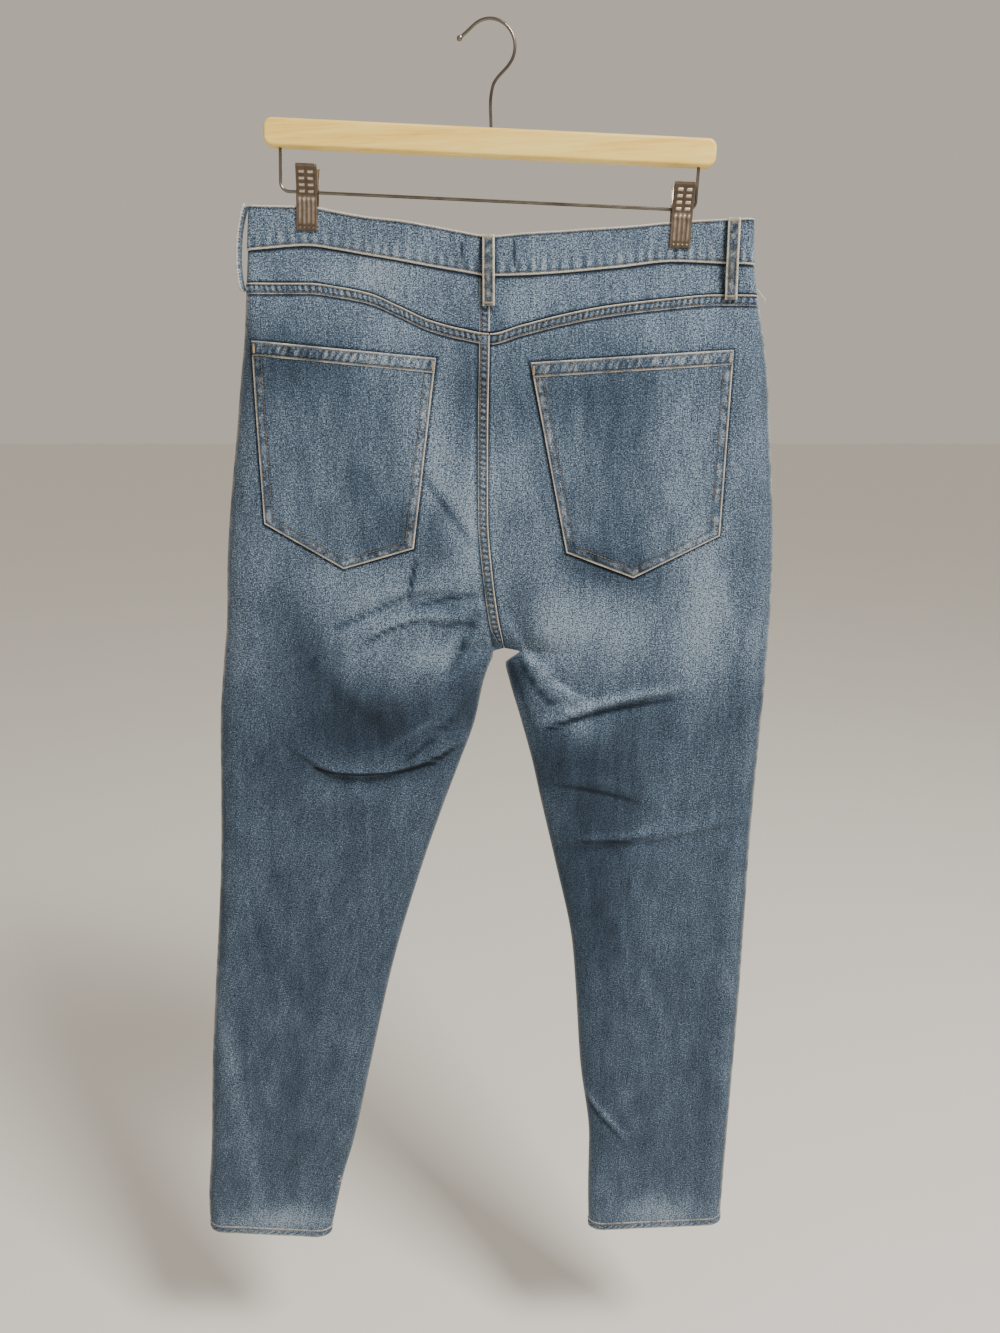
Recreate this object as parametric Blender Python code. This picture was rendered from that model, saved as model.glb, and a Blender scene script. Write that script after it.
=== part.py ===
"""Ankle jeans hanging from a wooden clip hanger, built from their cut and sewn pieces.

All sizes are in millimetres and become metres when a mesh is made. +Z is up, the back of the
garment faces -Y, and the origin is the point inside the hook where it hangs. The outer face of the
garment is one function of place: how far the cloth stands from the flat middle plane y = 0. Every
piece of cloth is a lattice on that face, moved out or in along its normals, so neighbours fit.
"""
import math
from collections import namedtuple

import bmesh
import bpy
import numpy as np

MM = 0.001
BACK = -1
FRONT = 1
LEFT = -1
RIGHT = 1

# Cloth and seams
SEAM_GAP = 0.3
DENIM = 1.5
HEM_THICKNESS = 3.2
BAND_PROUD = 0.8
BAND_THICKNESS = 2.5
FELLED_WIDTH = 9.0
FELLED_PROUD = 0.6
HEM_HEIGHT = 9.0
CROTCH = -501.5

# Garment outline, from the waist to the hems, and half of its depth front to back
Outline = namedtuple("Outline", "height left_side right_side half_depth")
OUTLINE = (
    Outline(-130.0, -195.0, 213.0, 9.0),
    Outline(-167.0, -198.5, 215.0, 9.5),
    Outline(-206.0, -202.5, 221.5, 11.0),
    Outline(-236.0, -205.5, 228.0, 13.0),
    Outline(-268.0, -210.5, 233.5, 14.5),
    Outline(-311.0, -216.5, 238.0, 15.5),
    Outline(-370.0, -225.5, 244.0, 16.0),
    Outline(-422.0, -232.0, 248.0, 16.0),
    Outline(-476.0, -236.0, 249.0, 15.0),
    Outline(-515.0, -241.5, 248.5, 14.0),
    Outline(-569.0, -248.0, 247.0, 13.0),
    Outline(-627.0, -251.5, 245.0, 12.5),
    Outline(-708.0, -257.0, 243.5, 11.5),
    Outline(-835.0, -270.5, 243.0, 10.5),
    Outline(-925.0, -280.0, 241.5, 10.0),
    Outline(-1019.0, -287.5, 239.5, 9.5),
    Outline(-1104.0, -295.5, 238.0, 9.0),
    Outline(-1140.0, -294.0, 237.0, 8.5),
)

# Inner edges of the two legs below the crotch, with the notch where the right thigh folds away
Inseam = namedtuple("Inseam", "height left_leg right_leg")
INSEAM = (
    Inseam(-501.5, 11.5, 11.5),
    Inseam(-504.5, 2.0, 25.0),
    Inseam(-509.0, 1.5, 19.0),
    Inseam(-515.0, -1.0, 12.5),
    Inseam(-531.0, -6.5, 16.0),
    Inseam(-569.0, -15.0, 27.0),
    Inseam(-608.0, -29.0, 37.5),
    Inseam(-647.0, -43.5, 46.0),
    Inseam(-708.0, -64.5, 60.0),
    Inseam(-792.0, -90.0, 77.5),
    Inseam(-835.0, -101.0, 81.5),
    Inseam(-925.0, -121.0, 88.0),
    Inseam(-1019.0, -142.0, 99.0),
    Inseam(-1060.0, -154.0, 99.0),
    Inseam(-1104.0, -164.0, 100.0),
    Inseam(-1140.0, -172.0, 102.0),
)

# Centre seam down the seat; depth_share is its depth as a share of the depth beside it
CentreSeam = namedtuple("CentreSeam", "height across depth_share")
CENTRE_SEAM = (
    CentreSeam(-130.0, 0.0, 1.0),
    CentreSeam(-245.0, -1.0, 1.0),
    CentreSeam(-312.0, -2.3, 0.97),
    CentreSeam(-383.0, -2.5, 0.93),
    CentreSeam(-431.0, 1.0, 0.85),
    CentreSeam(-471.0, 6.0, 0.6),
    CentreSeam(-490.0, 9.5, 0.33),
    CentreSeam(-501.5, 11.5, 0.0),
)

# Lines across the back, which sag between the two clips
WaistLine = namedtuple("WaistLine", "across band_top band_seam yoke_seam")
BACK_LINES = (
    WaistLine(-200.0, -133.5, -168.5, -193.0),
    WaistLine(-150.0, -134.0, -164.5, -193.0),
    WaistLine(-125.0, -138.0, -167.5, -196.0),
    WaistLine(-100.0, -142.5, -172.0, -201.0),
    WaistLine(-75.0, -145.5, -176.5, -211.5),
    WaistLine(-50.0, -149.5, -181.0, -222.5),
    WaistLine(-25.0, -154.0, -185.0, -229.0),
    WaistLine(0.0, -157.5, -188.5, -233.0),
    WaistLine(25.0, -155.5, -188.0, -226.5),
    WaistLine(60.0, -153.5, -186.0, -218.0),
    WaistLine(100.0, -150.5, -182.0, -210.5),
    WaistLine(150.0, -145.8, -176.6, -204.7),
    WaistLine(185.0, -144.0, -178.0, -202.0),
    WaistLine(216.0, -143.5, -179.5, -202.5),
)

# The front waist hangs lower in the middle, as a front rise does
FrontLine = namedtuple("FrontLine", "across band_top band_seam")
FRONT_LINES = (
    FrontLine(-200.0, -133.5, -168.5),
    FrontLine(-150.0, -134.0, -166.0),
    FrontLine(-75.0, -157.0, -190.0),
    FrontLine(0.0, -170.0, -204.0),
    FrontLine(75.0, -164.0, -197.0),
    FrontLine(150.0, -145.8, -178.0),
    FrontLine(216.0, -143.5, -179.5),
)

# How wide the rounding is along the outer and the inner edges
EdgeRound = namedtuple("EdgeRound", "height outer inner inner_power")
EDGE_ROUND = (
    EdgeRound(-150.0, 9.0, 70.0, 1.2),
    EdgeRound(-200.0, 14.0, 70.0, 1.2),
    EdgeRound(-300.0, 26.0, 70.0, 1.2),
    EdgeRound(-490.0, 26.0, 62.0, 1.1),
    EdgeRound(-540.0, 24.0, 46.0, 0.8),
    EdgeRound(-620.0, 22.0, 28.0, 0.6),
    EdgeRound(-740.0, 19.0, 20.0, 0.55),
    EdgeRound(-1130.0, 14.0, 14.0, 0.55),
)
OUTER_POWER = 0.55

# Folds: a bent line from start over a bend point to an end. A plain fold is a soft ridge or trough.
# A tuck bulges above its line and falls in sharply below it.
Fold = namedtuple("Fold", "face tuck start_x start_z bend_x bend_z end_x end_z width height")
FOLDS = (
    Fold(BACK, True, -169.0, -602.0, -120.0, -641.0, -31.0, -592.0, 20.0, 3.6),
    Fold(BACK, False, -140.0, -480.0, -80.0, -455.0, -5.0, -452.0, 9.0, -2.6),
    Fold(BACK, False, -110.0, -499.0, -60.0, -494.0, -14.0, -476.0, 8.0, -2.2),
    Fold(BACK, False, -68.0, -456.0, -66.0, -440.0, -53.0, -420.0, 8.0, -1.3),
    Fold(BACK, False, -170.0, -575.0, -110.0, -590.0, -60.0, -555.0, 18.0, -1.8),
    Fold(BACK, False, -12.0, -516.0, -34.0, -548.0, -50.0, -592.0, 11.0, 1.8),
    Fold(BACK, True, 86.0, -552.0, 42.0, -520.0, 15.0, -474.0, 10.0, -2.6),
    Fold(BACK, False, 17.0, -440.0, 20.0, -470.0, 31.0, -496.0, 8.0, -2.4),
    Fold(BACK, True, 45.0, -577.0, 90.0, -550.0, 168.0, -540.0, 11.0, 3.0),
    Fold(BACK, False, 63.0, -620.0, 100.0, -624.0, 134.0, -637.0, 7.0, 1.2),
    Fold(BACK, True, 68.0, -690.0, 150.0, -688.0, 236.0, -662.0, 14.0, 2.0),
    Fold(BACK, True, 94.0, -966.0, 106.0, -975.0, 118.0, -994.0, 7.0, 1.8),
    Fold(BACK, True, 113.0, -1003.0, 124.0, -1008.0, 136.0, -1018.0, 6.0, 1.4),
    Fold(BACK, False, -232.0, -560.0, -240.0, -820.0, -262.0, -1080.0, 17.0, 1.4),
    Fold(BACK, False, -150.0, -680.0, -188.0, -860.0, -222.0, -1040.0, 20.0, -1.2),
    Fold(BACK, False, 214.0, -600.0, 214.0, -820.0, 205.0, -1060.0, 18.0, -1.3),
    Fold(BACK, False, 130.0, -700.0, 150.0, -860.0, 165.0, -1060.0, 20.0, 1.2),
    Fold(FRONT, True, -40.0, -572.0, -110.0, -606.0, -190.0, -580.0, 17.0, 2.6),
    Fold(FRONT, True, 62.0, -560.0, 130.0, -592.0, 205.0, -566.0, 16.0, 2.4),
    Fold(FRONT, False, 0.0, -486.0, -60.0, -462.0, -128.0, -452.0, 10.0, -2.4),
    Fold(FRONT, False, 18.0, -488.0, 80.0, -470.0, 150.0, -446.0, 10.0, -2.2),
    Fold(FRONT, False, -20.0, -520.0, -70.0, -512.0, -120.0, -496.0, 9.0, 1.8),
    Fold(FRONT, False, 34.0, -530.0, 90.0, -520.0, 140.0, -500.0, 9.0, 1.6),
    Fold(FRONT, True, -90.0, -700.0, -150.0, -722.0, -230.0, -708.0, 14.0, 2.0),
    Fold(FRONT, True, 78.0, -735.0, 140.0, -752.0, 222.0, -738.0, 14.0, 1.8),
    Fold(FRONT, False, -215.0, -620.0, -232.0, -840.0, -252.0, -1060.0, 18.0, 1.3),
    Fold(FRONT, False, 190.0, -620.0, 192.0, -840.0, 186.0, -1060.0, 18.0, 1.3),
)
FOLD_SAMPLES = 17
FOLD_EDGE_FADE = 14.0
FOLDS_CROSS_SEAM = 40.0
FOLD_END_SHARE = 0.08
TUCK_SHARPNESS = 2.5
TUCK_FALL_WIDTH = 0.7
TUCK_FALL_DEPTH = 0.7

# Hem lines: the height at the inner and at the outer edge of each leg
HEM_INNER = {LEFT: -1131.0, RIGHT: -1122.0}
HEM_OUTER = {LEFT: -1124.0, RIGHT: -1115.0}

# Where the clips pinch the waist flat
CLIP_ACROSS = (-149.0, 154.0)
PINCHED_DEPTH = 2.0
PINCH_FLAT = 20.0
PINCH_REACH = 85.0
PINCH_BELOW = 80.0

# Lattice spacing
RowStep = namedtuple("RowStep", "height step")
BACK_ROWS = (
    RowStep(-501.5, 3.0),
    RowStep(-520.0, 10.0),
    RowStep(-560.0, 15.0),
    RowStep(-595.0, 9.0),
    RowStep(-625.0, 10.0),
    RowStep(-660.0, 18.0),
    RowStep(-720.0, 34.0),
    RowStep(-930.0, 48.0),
    RowStep(-970.0, 26.0),
    RowStep(-1060.0, 40.0),
)
FRONT_ROWS = (
    RowStep(-501.5, 3.0),
    RowStep(-520.0, 13.0),
    RowStep(-600.0, 18.0),
    RowStep(-740.0, 24.0),
    RowStep(-860.0, 55.0),
    RowStep(-1060.0, 55.0),
)
LAST_ROW_CLEAR = 12.0
SEAT_ROWS_BACK = 13
SEAT_ROWS_FRONT = 10
YOKE_ROWS = 4
BAND_ROWS = 4
ON_SIDE_SEAM = 0.0005
CLIP_HEIGHT = -165.0
EDGE_STEPS = (0.0, 0.05, 0.22, 0.55, 1.0)
INNER_STEPS_REACH = 30.0
MIDDLE_COLUMNS_BACK = 6
MIDDLE_COLUMNS_FRONT = 4

# Back pockets: corners of the patch, each as (across, height)
Pocket = namedtuple("Pocket", "top_left top_right bottom_right tip bottom_left")
BACK_POCKETS = {
    LEFT: Pocket((-197.0, -239.0), (-45.0, -253.0), (-66.5, -410.0), (-127.5, -427.5), (-194.0, -388.5)),
    RIGHT: Pocket((33.0, -256.5), (200.5, -246.5), (196.5, -399.0), (123.5, -435.5), (65.0, -413.5)),
}
POCKET_LIFT = 0.4
POCKET_DENIM = 1.4
POCKET_HEM = 12.0
POCKET_HEM_PROUD = 0.8
POCKET_HEM_INSET = 0.2

# Front pockets: a curved mouth from the waistband to the side seam, with a facing behind it
MOUTH_WIDTH = 96.0
MOUTH_DROP = 74.0
FACING_UNDERLAP = 20.0
FACING_DENIM = 1.2
FACING_BELOW_BAND = 1.2
MOUTH_SEGMENTS = 9
MOUTH_ABOVE = 60.0
CUTTER_BEHIND = 10.0
CUTTER_BEYOND = 60.0

# Belt loops
LOOP_WIDTH = 10.0
LOOP_THICKNESS = 2.2
LOOP_BULGE = 2.8
LOOP_CLEAR = 0.5
LOOP_ROWS = 11
SIDE_LOOP_BULGE = 5.8
Loop = namedtuple("Loop", "name face across top bottom")
LOOPS = (
    Loop("belt_loop_centre_back", BACK, -1.5, -157.0, -212.0),
    Loop("belt_loop_right_back", BACK, 197.5, -143.5, -207.0),
    Loop("belt_loop_left_front", FRONT, -90.0, -152.0, -206.0),
    Loop("belt_loop_right_front", FRONT, 102.0, -158.0, -210.0),
)
SIDE_LOOP_TOP = -134.0
SIDE_LOOP_BOTTOM = -198.0

# Fly and button on the front
FLY_WIDTH = 36.0
FLY_BOTTOM = -352.0
FLY_DENIM = 1.0
FLY_LIFT = 0.4
FLY_CURVE = 52.0
FLY_INSET = 2.4
FLY_BELOW_BAND = 1.0
BAND_OVERLAP = 14.0
OVERLAP_RAMP = 24.0
OVERLAP_FLAT = 3.0
LAP_CLEAR = 0.4
BUTTON_RADIUS = 8.5
BUTTON_HEIGHT = 3.0
BUTTON_CLEAR = 0.5
BUTTON_SEGMENTS = 20

# Hanger, in its own axes: u along the bar, v up from the bar's top, tilted right end down
HANGER_TILT = math.radians(2.5)
BAR_TOP_CENTRE = (0.6, -77.0)
BAR_LENGTH = 361.0
BAR_HEIGHT = 21.0
BAR_DEPTH = 12.0
BAR_END_ROUND = 7.0
BAR_EDGE_ROUND = 2.4
WIRE_RADIUS = 1.3
WIRE_DROP_U = 168.0
WIRE_V = -53.0
WIRE_CORNER = 7.0
HOOK_RADIUS = 19.5
HOOK_WIRE_RADIUS = 1.25
HOOK_TIP = (-25.5, -13.8)
HOOK_STEM_TOP = -49.0
CLIP_WIDTH = 17.2
CLIP_TOP_V = -33.5
CLIP_BOTTOM_V = -82.5
CLIP_SHEET = 1.1
CLIP_FLANGE = 2.4
CLIP_RIM = 0.3
SPRING_RADIUS = 4.2
SPRING_LENGTH = 8.0
JawProfile = namedtuple("JawProfile", "v inner_depth")
JAW_PROFILE = (
    JawProfile(-82.5, 3.55),
    JawProfile(-64.0, 3.55),
    JawProfile(-58.0, 3.8),
    JawProfile(-53.0, 4.5),
    JawProfile(-46.0, 6.2),
    JawProfile(-33.5, 9.4),
)


def column(table, name):
    """One named column of a table as an array."""
    return np.array([getattr(row, name) for row in table])


def through(table, place, value, at):
    """Smooth curve through a table's (place, value) pairs that never overshoots them.

    Between two rows it is a cubic whose end slopes are the harmonic means of the slopes beside
    each row, or level where those slopes differ in sign.
    """
    places = column(table, place)
    values = column(table, value)
    order = np.argsort(places)
    places = places[order]
    values = values[order]
    gap = np.diff(places)
    slope = np.diff(values) / gap
    product = slope[:-1] * slope[1:]
    total = np.where(product > 0, slope[:-1] + slope[1:], 1.0)
    tangent = np.concatenate(([slope[0]], np.where(product > 0, 2 * product / total, 0.0), [slope[-1]]))
    at = np.clip(at, places[0], places[-1])
    k = np.clip(np.searchsorted(places, at, side="right") - 1, 0, len(gap) - 1)
    t = (at - places[k]) / gap[k]
    rise = t * t * (3 - 2 * t)
    start_pull = t * (1 - t) ** 2 * gap[k] * tangent[k]
    end_pull = t * t * (t - 1) * gap[k] * tangent[k + 1]
    return values[k] + (values[k + 1] - values[k]) * rise + start_pull + end_pull


def smooth_step(low, high, at):
    """0 below low, 1 above high, and a smooth rise between them."""
    t = np.clip((at - low) / (high - low), 0.0, 1.0)
    return t * t * (3 - 2 * t)


def outer_edge(side, height):
    """Across place of the outer side seam."""
    return through(OUTLINE, "height", "left_side" if side == LEFT else "right_side", height)


def inner_edge(side, height):
    """Across place of the centre seam above the crotch, and of the leg's inseam below it."""
    seat = through(CENTRE_SEAM, "height", "across", height)
    leg = through(INSEAM, "height", "left_leg" if side == LEFT else "right_leg", height)
    return np.where(height > CROTCH, seat, leg)


def rounding(distance, width, power):
    """0 on an edge and 1 at `width` from it: a power of a quarter sine wave."""
    return np.sin(0.5 * np.pi * np.clip(distance / width, 0.0, 1.0)) ** power


def fold_relief(face, across, height):
    """Sum of the folds: each falls off with the distance from its bent line and at its ends."""
    relief = np.zeros(np.shape(across))
    for fold in FOLDS:
        if fold.face != face:
            continue
        t = np.linspace(0.0, 1.0, FOLD_SAMPLES)
        line_x = (1 - t) ** 2 * fold.start_x + 2 * t * (1 - t) * fold.bend_x + t * t * fold.end_x
        line_z = (1 - t) ** 2 * fold.start_z + 2 * t * (1 - t) * fold.bend_z + t * t * fold.end_z
        away_x = across[..., None] - line_x
        away_z = height[..., None] - line_z
        squared = away_x ** 2 + away_z ** 2
        near = np.argmin(squared, axis=-1)
        step_x = np.gradient(line_x)[near]
        step_z = np.gradient(line_z)[near]
        picked_x = np.take_along_axis(away_x, near[..., None], axis=-1)[..., 0]
        picked_z = np.take_along_axis(away_z, near[..., None], axis=-1)[..., 0]
        length = np.hypot(step_x, step_z)
        along = (picked_x * step_x + picked_z * step_z) / length
        beside = (picked_z * step_x - picked_x * step_z) / length
        end = (near == 0) | (near == FOLD_SAMPLES - 1)
        distance = np.where(end, np.hypot(along, beside), np.abs(beside))
        place = np.clip((near + along / length) / (FOLD_SAMPLES - 1), 0.0, 1.0)
        taper = np.sin(np.pi * (FOLD_END_SHARE + (1 - 2 * FOLD_END_SHARE) * place)) ** 0.7
        if fold.tuck:
            side_of_line = beside * np.sign(fold.end_x - fold.start_x)
            above = np.exp(-(distance / fold.width) ** 2)
            below = -TUCK_FALL_DEPTH * np.exp(-(distance / (TUCK_FALL_WIDTH * fold.width)) ** 2)
            blend = 0.5 + 0.5 * np.tanh(side_of_line / TUCK_SHARPNESS)
            profile = below + (above - below) * blend
        else:
            profile = np.exp(-(distance / fold.width) ** 2)
        relief += fold.height * taper * profile
    return relief


def pinch(across, height):
    """How far the clips press the waist flat: 1 at a clip, 0 away from it and down the hips."""
    band_seam = through(BACK_LINES, "across", "band_seam", across)
    below = 1 - smooth_step(0.0, PINCH_BELOW, band_seam - height)
    pressed = np.zeros(np.shape(across))
    for clip in CLIP_ACROSS:
        beside = 1 - smooth_step(PINCH_FLAT, PINCH_REACH, np.abs(across - clip))
        pressed = np.maximum(pressed, beside)
    return pressed * below


def depth_at(side, face, across, height):
    """Distance of the garment's outer face from its middle plane."""
    from_left = across - outer_edge(LEFT, height)
    from_right = outer_edge(RIGHT, height) - across
    own_side = from_left if side == LEFT else from_right
    from_outer = np.where(height > CROTCH, np.minimum(from_left, from_right), own_side)
    from_outer = np.maximum(from_outer, 0.0)
    from_inner = np.abs(across - inner_edge(side, height))
    outer_width = through(EDGE_ROUND, "height", "outer", height)
    inner_width = through(EDGE_ROUND, "height", "inner", height)
    inner_power = through(EDGE_ROUND, "height", "inner_power", height)
    seam_share = np.where(height > CROTCH, through(CENTRE_SEAM, "height", "depth_share", height), 0.0)
    body = through(OUTLINE, "height", "half_depth", height)
    outer_round = rounding(from_outer, outer_width, OUTER_POWER)
    inner_round = seam_share + (1 - seam_share) * rounding(from_inner, inner_width, inner_power)
    depth = body * outer_round * inner_round
    pressed = pinch(across, height) * outer_round
    depth = depth + (PINCHED_DEPTH - depth) * pressed
    outer_fade = rounding(from_outer, FOLD_EDGE_FADE, 1.0)
    inner_fade = rounding(from_inner + FOLDS_CROSS_SEAM * seam_share, FOLD_EDGE_FADE, 1.0)
    depth = depth + fold_relief(face, across, height) * outer_fade * inner_fade
    return np.maximum(depth, 0.0)


def column_places(side, height, middle):
    """Across places of a lattice row: close together in the rounded edges, even between them."""
    inner = inner_edge(side, height)
    outer = outer_edge(side, height)
    inner_width = np.minimum(through(EDGE_ROUND, "height", "inner", height), INNER_STEPS_REACH)
    outer_width = through(EDGE_ROUND, "height", "outer", height)
    steps = np.array(EDGE_STEPS)
    count = len(steps)
    position = np.arange(2 * count + middle)
    from_inner = inner_width * steps[np.minimum(position, count - 1)]
    from_outer = outer_width * steps[np.minimum(position[::-1], count - 1)]
    start = inner + side * from_inner
    end = outer - side * from_outer
    share = np.clip((position - count + 1) / (middle + 1), 0.0, 1.0)
    return start * (1 - share) + end * share


def normals(face, points):
    """Outward unit normals of a lattice of points, from the differences between neighbours."""
    down = np.gradient(points, axis=0)
    along = np.gradient(points, axis=1)
    normal = np.cross(down, along)
    normal /= np.maximum(np.linalg.norm(normal, axis=-1, keepdims=True), 1e-9)
    if np.sum(normal[..., 1]) * face < 0:
        normal = -normal
    return normal


def wall_mesh(outer, inner):
    """Closed wall between two lattices of the same shape, with a rim round all four sides."""
    rows, columns = outer.shape[:2]
    index = np.arange(rows * columns).reshape(rows, columns)
    under = index + rows * columns
    faces = np.stack((index[:-1, :-1], index[1:, :-1], index[1:, 1:], index[:-1, 1:]), axis=-1)
    backs = np.stack((under[:-1, :-1], under[:-1, 1:], under[1:, 1:], under[1:, :-1]), axis=-1)
    ring = np.concatenate((index[0, :-1], index[:-1, -1], index[-1, :0:-1], index[:0:-1, 0]))
    below = ring + rows * columns
    rims = np.stack((ring, np.roll(ring, -1), np.roll(below, -1), below), axis=-1)
    points = np.concatenate((outer.reshape(-1, 3), inner.reshape(-1, 3)))
    return points, np.concatenate((faces.reshape(-1, 4), backs.reshape(-1, 4), rims))


def add_object(name, points, faces, material, smooth=True):
    """A mesh object from points in millimetres, with its faces turned outwards."""
    mesh = bpy.data.meshes.new(name)
    places = [tuple(point * MM) for point in np.asarray(points)]
    mesh.from_pydata(places, [], [tuple(face) for face in faces])
    shape = bmesh.new()
    shape.from_mesh(mesh)
    bmesh.ops.recalc_face_normals(shape, faces=shape.faces)
    if shape.calc_volume(signed=True) < 0:
        bmesh.ops.reverse_faces(shape, faces=shape.faces)
    shape.to_mesh(mesh)
    shape.free()
    mesh.materials.append(material)
    if smooth:
        mesh.shade_smooth()
        mesh.set_sharp_from_angle(angle=math.radians(40.0))
    piece = bpy.data.objects.new(name, mesh)
    bpy.context.scene.collection.objects.link(piece)
    return piece


def cloth(name, side, face, across, height, inside, outside, material):
    """Closed cloth wall on the garment's face, from `inside` to `outside` along its normals."""
    depth = depth_at(side, face, across, height)
    points = np.stack((across, face * (0.5 * SEAM_GAP + depth), height), axis=-1)
    normal = normals(face, points)
    on_side_seam = np.zeros(across.shape, bool)
    for edge in (LEFT, RIGHT):
        on_edge = np.abs(across - outer_edge(edge, height)) < 0.01
        normal[on_edge] = (edge, 0.0, 0.0)
        on_side_seam |= on_edge
    on_inner = np.abs(across - inner_edge(side, height)) < 0.01
    on_inseam = on_inner & (height <= CROTCH)
    normal[on_inseam] = (-side, 0.0, 0.0)
    on_centre = on_inner & (height > CROTCH)
    normal[on_centre, 0] = 0.0
    normal[on_centre] /= np.maximum(np.linalg.norm(normal[on_centre], axis=-1, keepdims=True), 1e-9)
    outer = points + normal * np.broadcast_to(outside, across.shape)[..., None]
    inner = points + normal * np.broadcast_to(inside, across.shape)[..., None]
    for grid in (outer, inner):
        grid[..., 1] = face * np.maximum(face * grid[..., 1], 0.5 * SEAM_GAP)
        grid[on_side_seam | on_inseam, 1] = face * 0.5 * SEAM_GAP
        grid[on_centre, 0] += side * 0.5 * SEAM_GAP
    return add_object(name, *wall_mesh(outer, inner), material)


def leg_rows(table, side):
    """Shares of the way from the crotch to the hem line, with the table's step at each height."""
    heights = [CROTCH]
    bottom = HEM_OUTER[side] + HEM_HEIGHT
    while heights[-1] > bottom + LAST_ROW_CLEAR:
        step = np.interp(-heights[-1], -column(table, "height"), column(table, "step"))
        heights.append(heights[-1] - float(step))
    heights[-1] = bottom
    return (CROTCH - np.array(heights)) / (CROTCH - bottom)


def columns_on_line(side, line, start_height, middle):
    """Across and height of the lattice columns where they meet a line, found by a few repeats."""
    height = np.full(2 * len(EDGE_STEPS) + middle, start_height)
    for _ in range(4):
        across = column_places(side, height, middle)
        height = line(across)
    return across, height


def panel_lattice(side, top_line, seat_rows, row_table, middle):
    """Across and height arrays of a leg panel, from its top line over the crotch to the hem."""
    guide, top = columns_on_line(side, top_line, -220.0, middle)
    top = top - 0.5 * SEAM_GAP
    share = np.abs(guide - guide[0]) / np.abs(guide[-1] - guide[0])
    hem = HEM_INNER[side] + (HEM_OUTER[side] - HEM_INNER[side]) * share
    stitch_line = hem + HEM_HEIGHT
    felled = [top, top - FELLED_WIDTH, top - FELLED_WIDTH - 1.0]
    seat = [felled[-1] + (CROTCH - felled[-1]) * row for row in np.linspace(0.0, 1.0, seat_rows)[1:-1]]
    leg = [CROTCH + (stitch_line - CROTCH) * row for row in leg_rows(row_table, side)]
    height = np.array(felled + seat + leg + [stitch_line - 0.8, hem])
    return column_places(side, height, middle), height


def back_yoke_line(across):
    """Height of the seam between the yoke and the back panel."""
    return through(BACK_LINES, "across", "yoke_seam", across)


def back_band_line(across):
    """Height of the seam between the waistband and the yoke."""
    return through(BACK_LINES, "across", "band_seam", across)


def front_band_line(across):
    """Height of the seam between the waistband and the front panel."""
    return through(FRONT_LINES, "across", "band_seam", across)


def panel_thickness(height, across, hem_line, felled_line):
    """Outside and inside offsets of a panel: thicker in its hem and in the seam under the yoke."""
    in_hem = (height < hem_line - 0.4).astype(float)
    outside = 0.9 * in_hem
    inside = -DENIM - (HEM_THICKNESS - DENIM - 0.9) * in_hem
    if felled_line is not None:
        in_seam = (height > felled_line(across) - FELLED_WIDTH - 0.6).astype(float)
        outside = outside + FELLED_PROUD * in_seam
    return inside, outside


def panel_sheets():
    """The lattice of each of the four leg panels, which the pieces sewn on them share."""
    sheets = {}
    for side in (LEFT, RIGHT):
        sheets[side, BACK] = panel_lattice(
            side, back_yoke_line, SEAT_ROWS_BACK, BACK_ROWS, MIDDLE_COLUMNS_BACK,
        )
        sheets[side, FRONT] = panel_lattice(
            side, front_band_line, SEAT_ROWS_FRONT, FRONT_ROWS, MIDDLE_COLUMNS_FRONT,
        )
    return sheets


def prism(name, outline, face):
    """Cutter with the given (across, height) outline, from the middle plane out past the cloth."""
    near = [(x, -face * CUTTER_BEHIND, z) for x, z in outline]
    far = [(x, face * CUTTER_BEYOND, z) for x, z in outline]
    count = len(outline)
    faces = [tuple(range(count)), tuple(range(2 * count - 1, count - 1, -1))]
    faces += [(k, (k + 1) % count, count + (k + 1) % count, count + k) for k in range(count)]
    cutter = bpy.data.objects.new(name, bpy.data.meshes.new(name))
    cutter.data.from_pydata([tuple(np.array(point) * MM) for point in near + far], [], faces)
    shape = bmesh.new()
    shape.from_mesh(cutter.data)
    bmesh.ops.recalc_face_normals(shape, faces=shape.faces)
    shape.to_mesh(cutter.data)
    shape.free()
    hide(cutter)
    bpy.context.scene.collection.objects.link(cutter)
    return cutter


def hide(guide):
    """Mark an object as a cutter or guide that is no part of the garment."""
    guide.hide_render = True
    guide.display_type = "WIRE"


def combine(piece, operation, other):
    """Boolean of a piece with another object."""
    modifier = piece.modifiers.new(operation.lower(), "BOOLEAN")
    modifier.operation = operation
    modifier.solver = "EXACT"
    modifier.object = other


def build_back_panel(side, sheet, material):
    """Back leg panel from the yoke seam to the hem, cut in one piece with its leg."""
    across, height = sheet
    inside, outside = panel_thickness(height, across, height[-3], back_yoke_line)
    name = "back_panel_left" if side == LEFT else "back_panel_right"
    cloth(name, side, BACK, across, height, inside, outside, material)


def mouth_corner(side):
    """Across and height of the point where the side seam meets the front waistband."""
    edge = outer_edge(side, np.array([CLIP_HEIGHT]))[0]
    return edge, front_band_line(np.array([edge]))[0]


def mouth_outline(side, margin):
    """Outline round a front pocket's mouth: a quarter ellipse about the corner of the side seam."""
    edge, seam = mouth_corner(side)
    turns = np.linspace(0.0, 0.5 * math.pi, MOUTH_SEGMENTS + 1)
    width = MOUTH_WIDTH + margin
    drop = MOUTH_DROP + margin
    arc = [(edge - side * width * math.cos(turn), seam - drop * math.sin(turn)) for turn in turns]
    above = seam + MOUTH_ABOVE
    beyond = edge + side * MOUTH_ABOVE
    return [(arc[0][0], above)] + arc + [(beyond, seam - drop), (beyond, above)]


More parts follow.
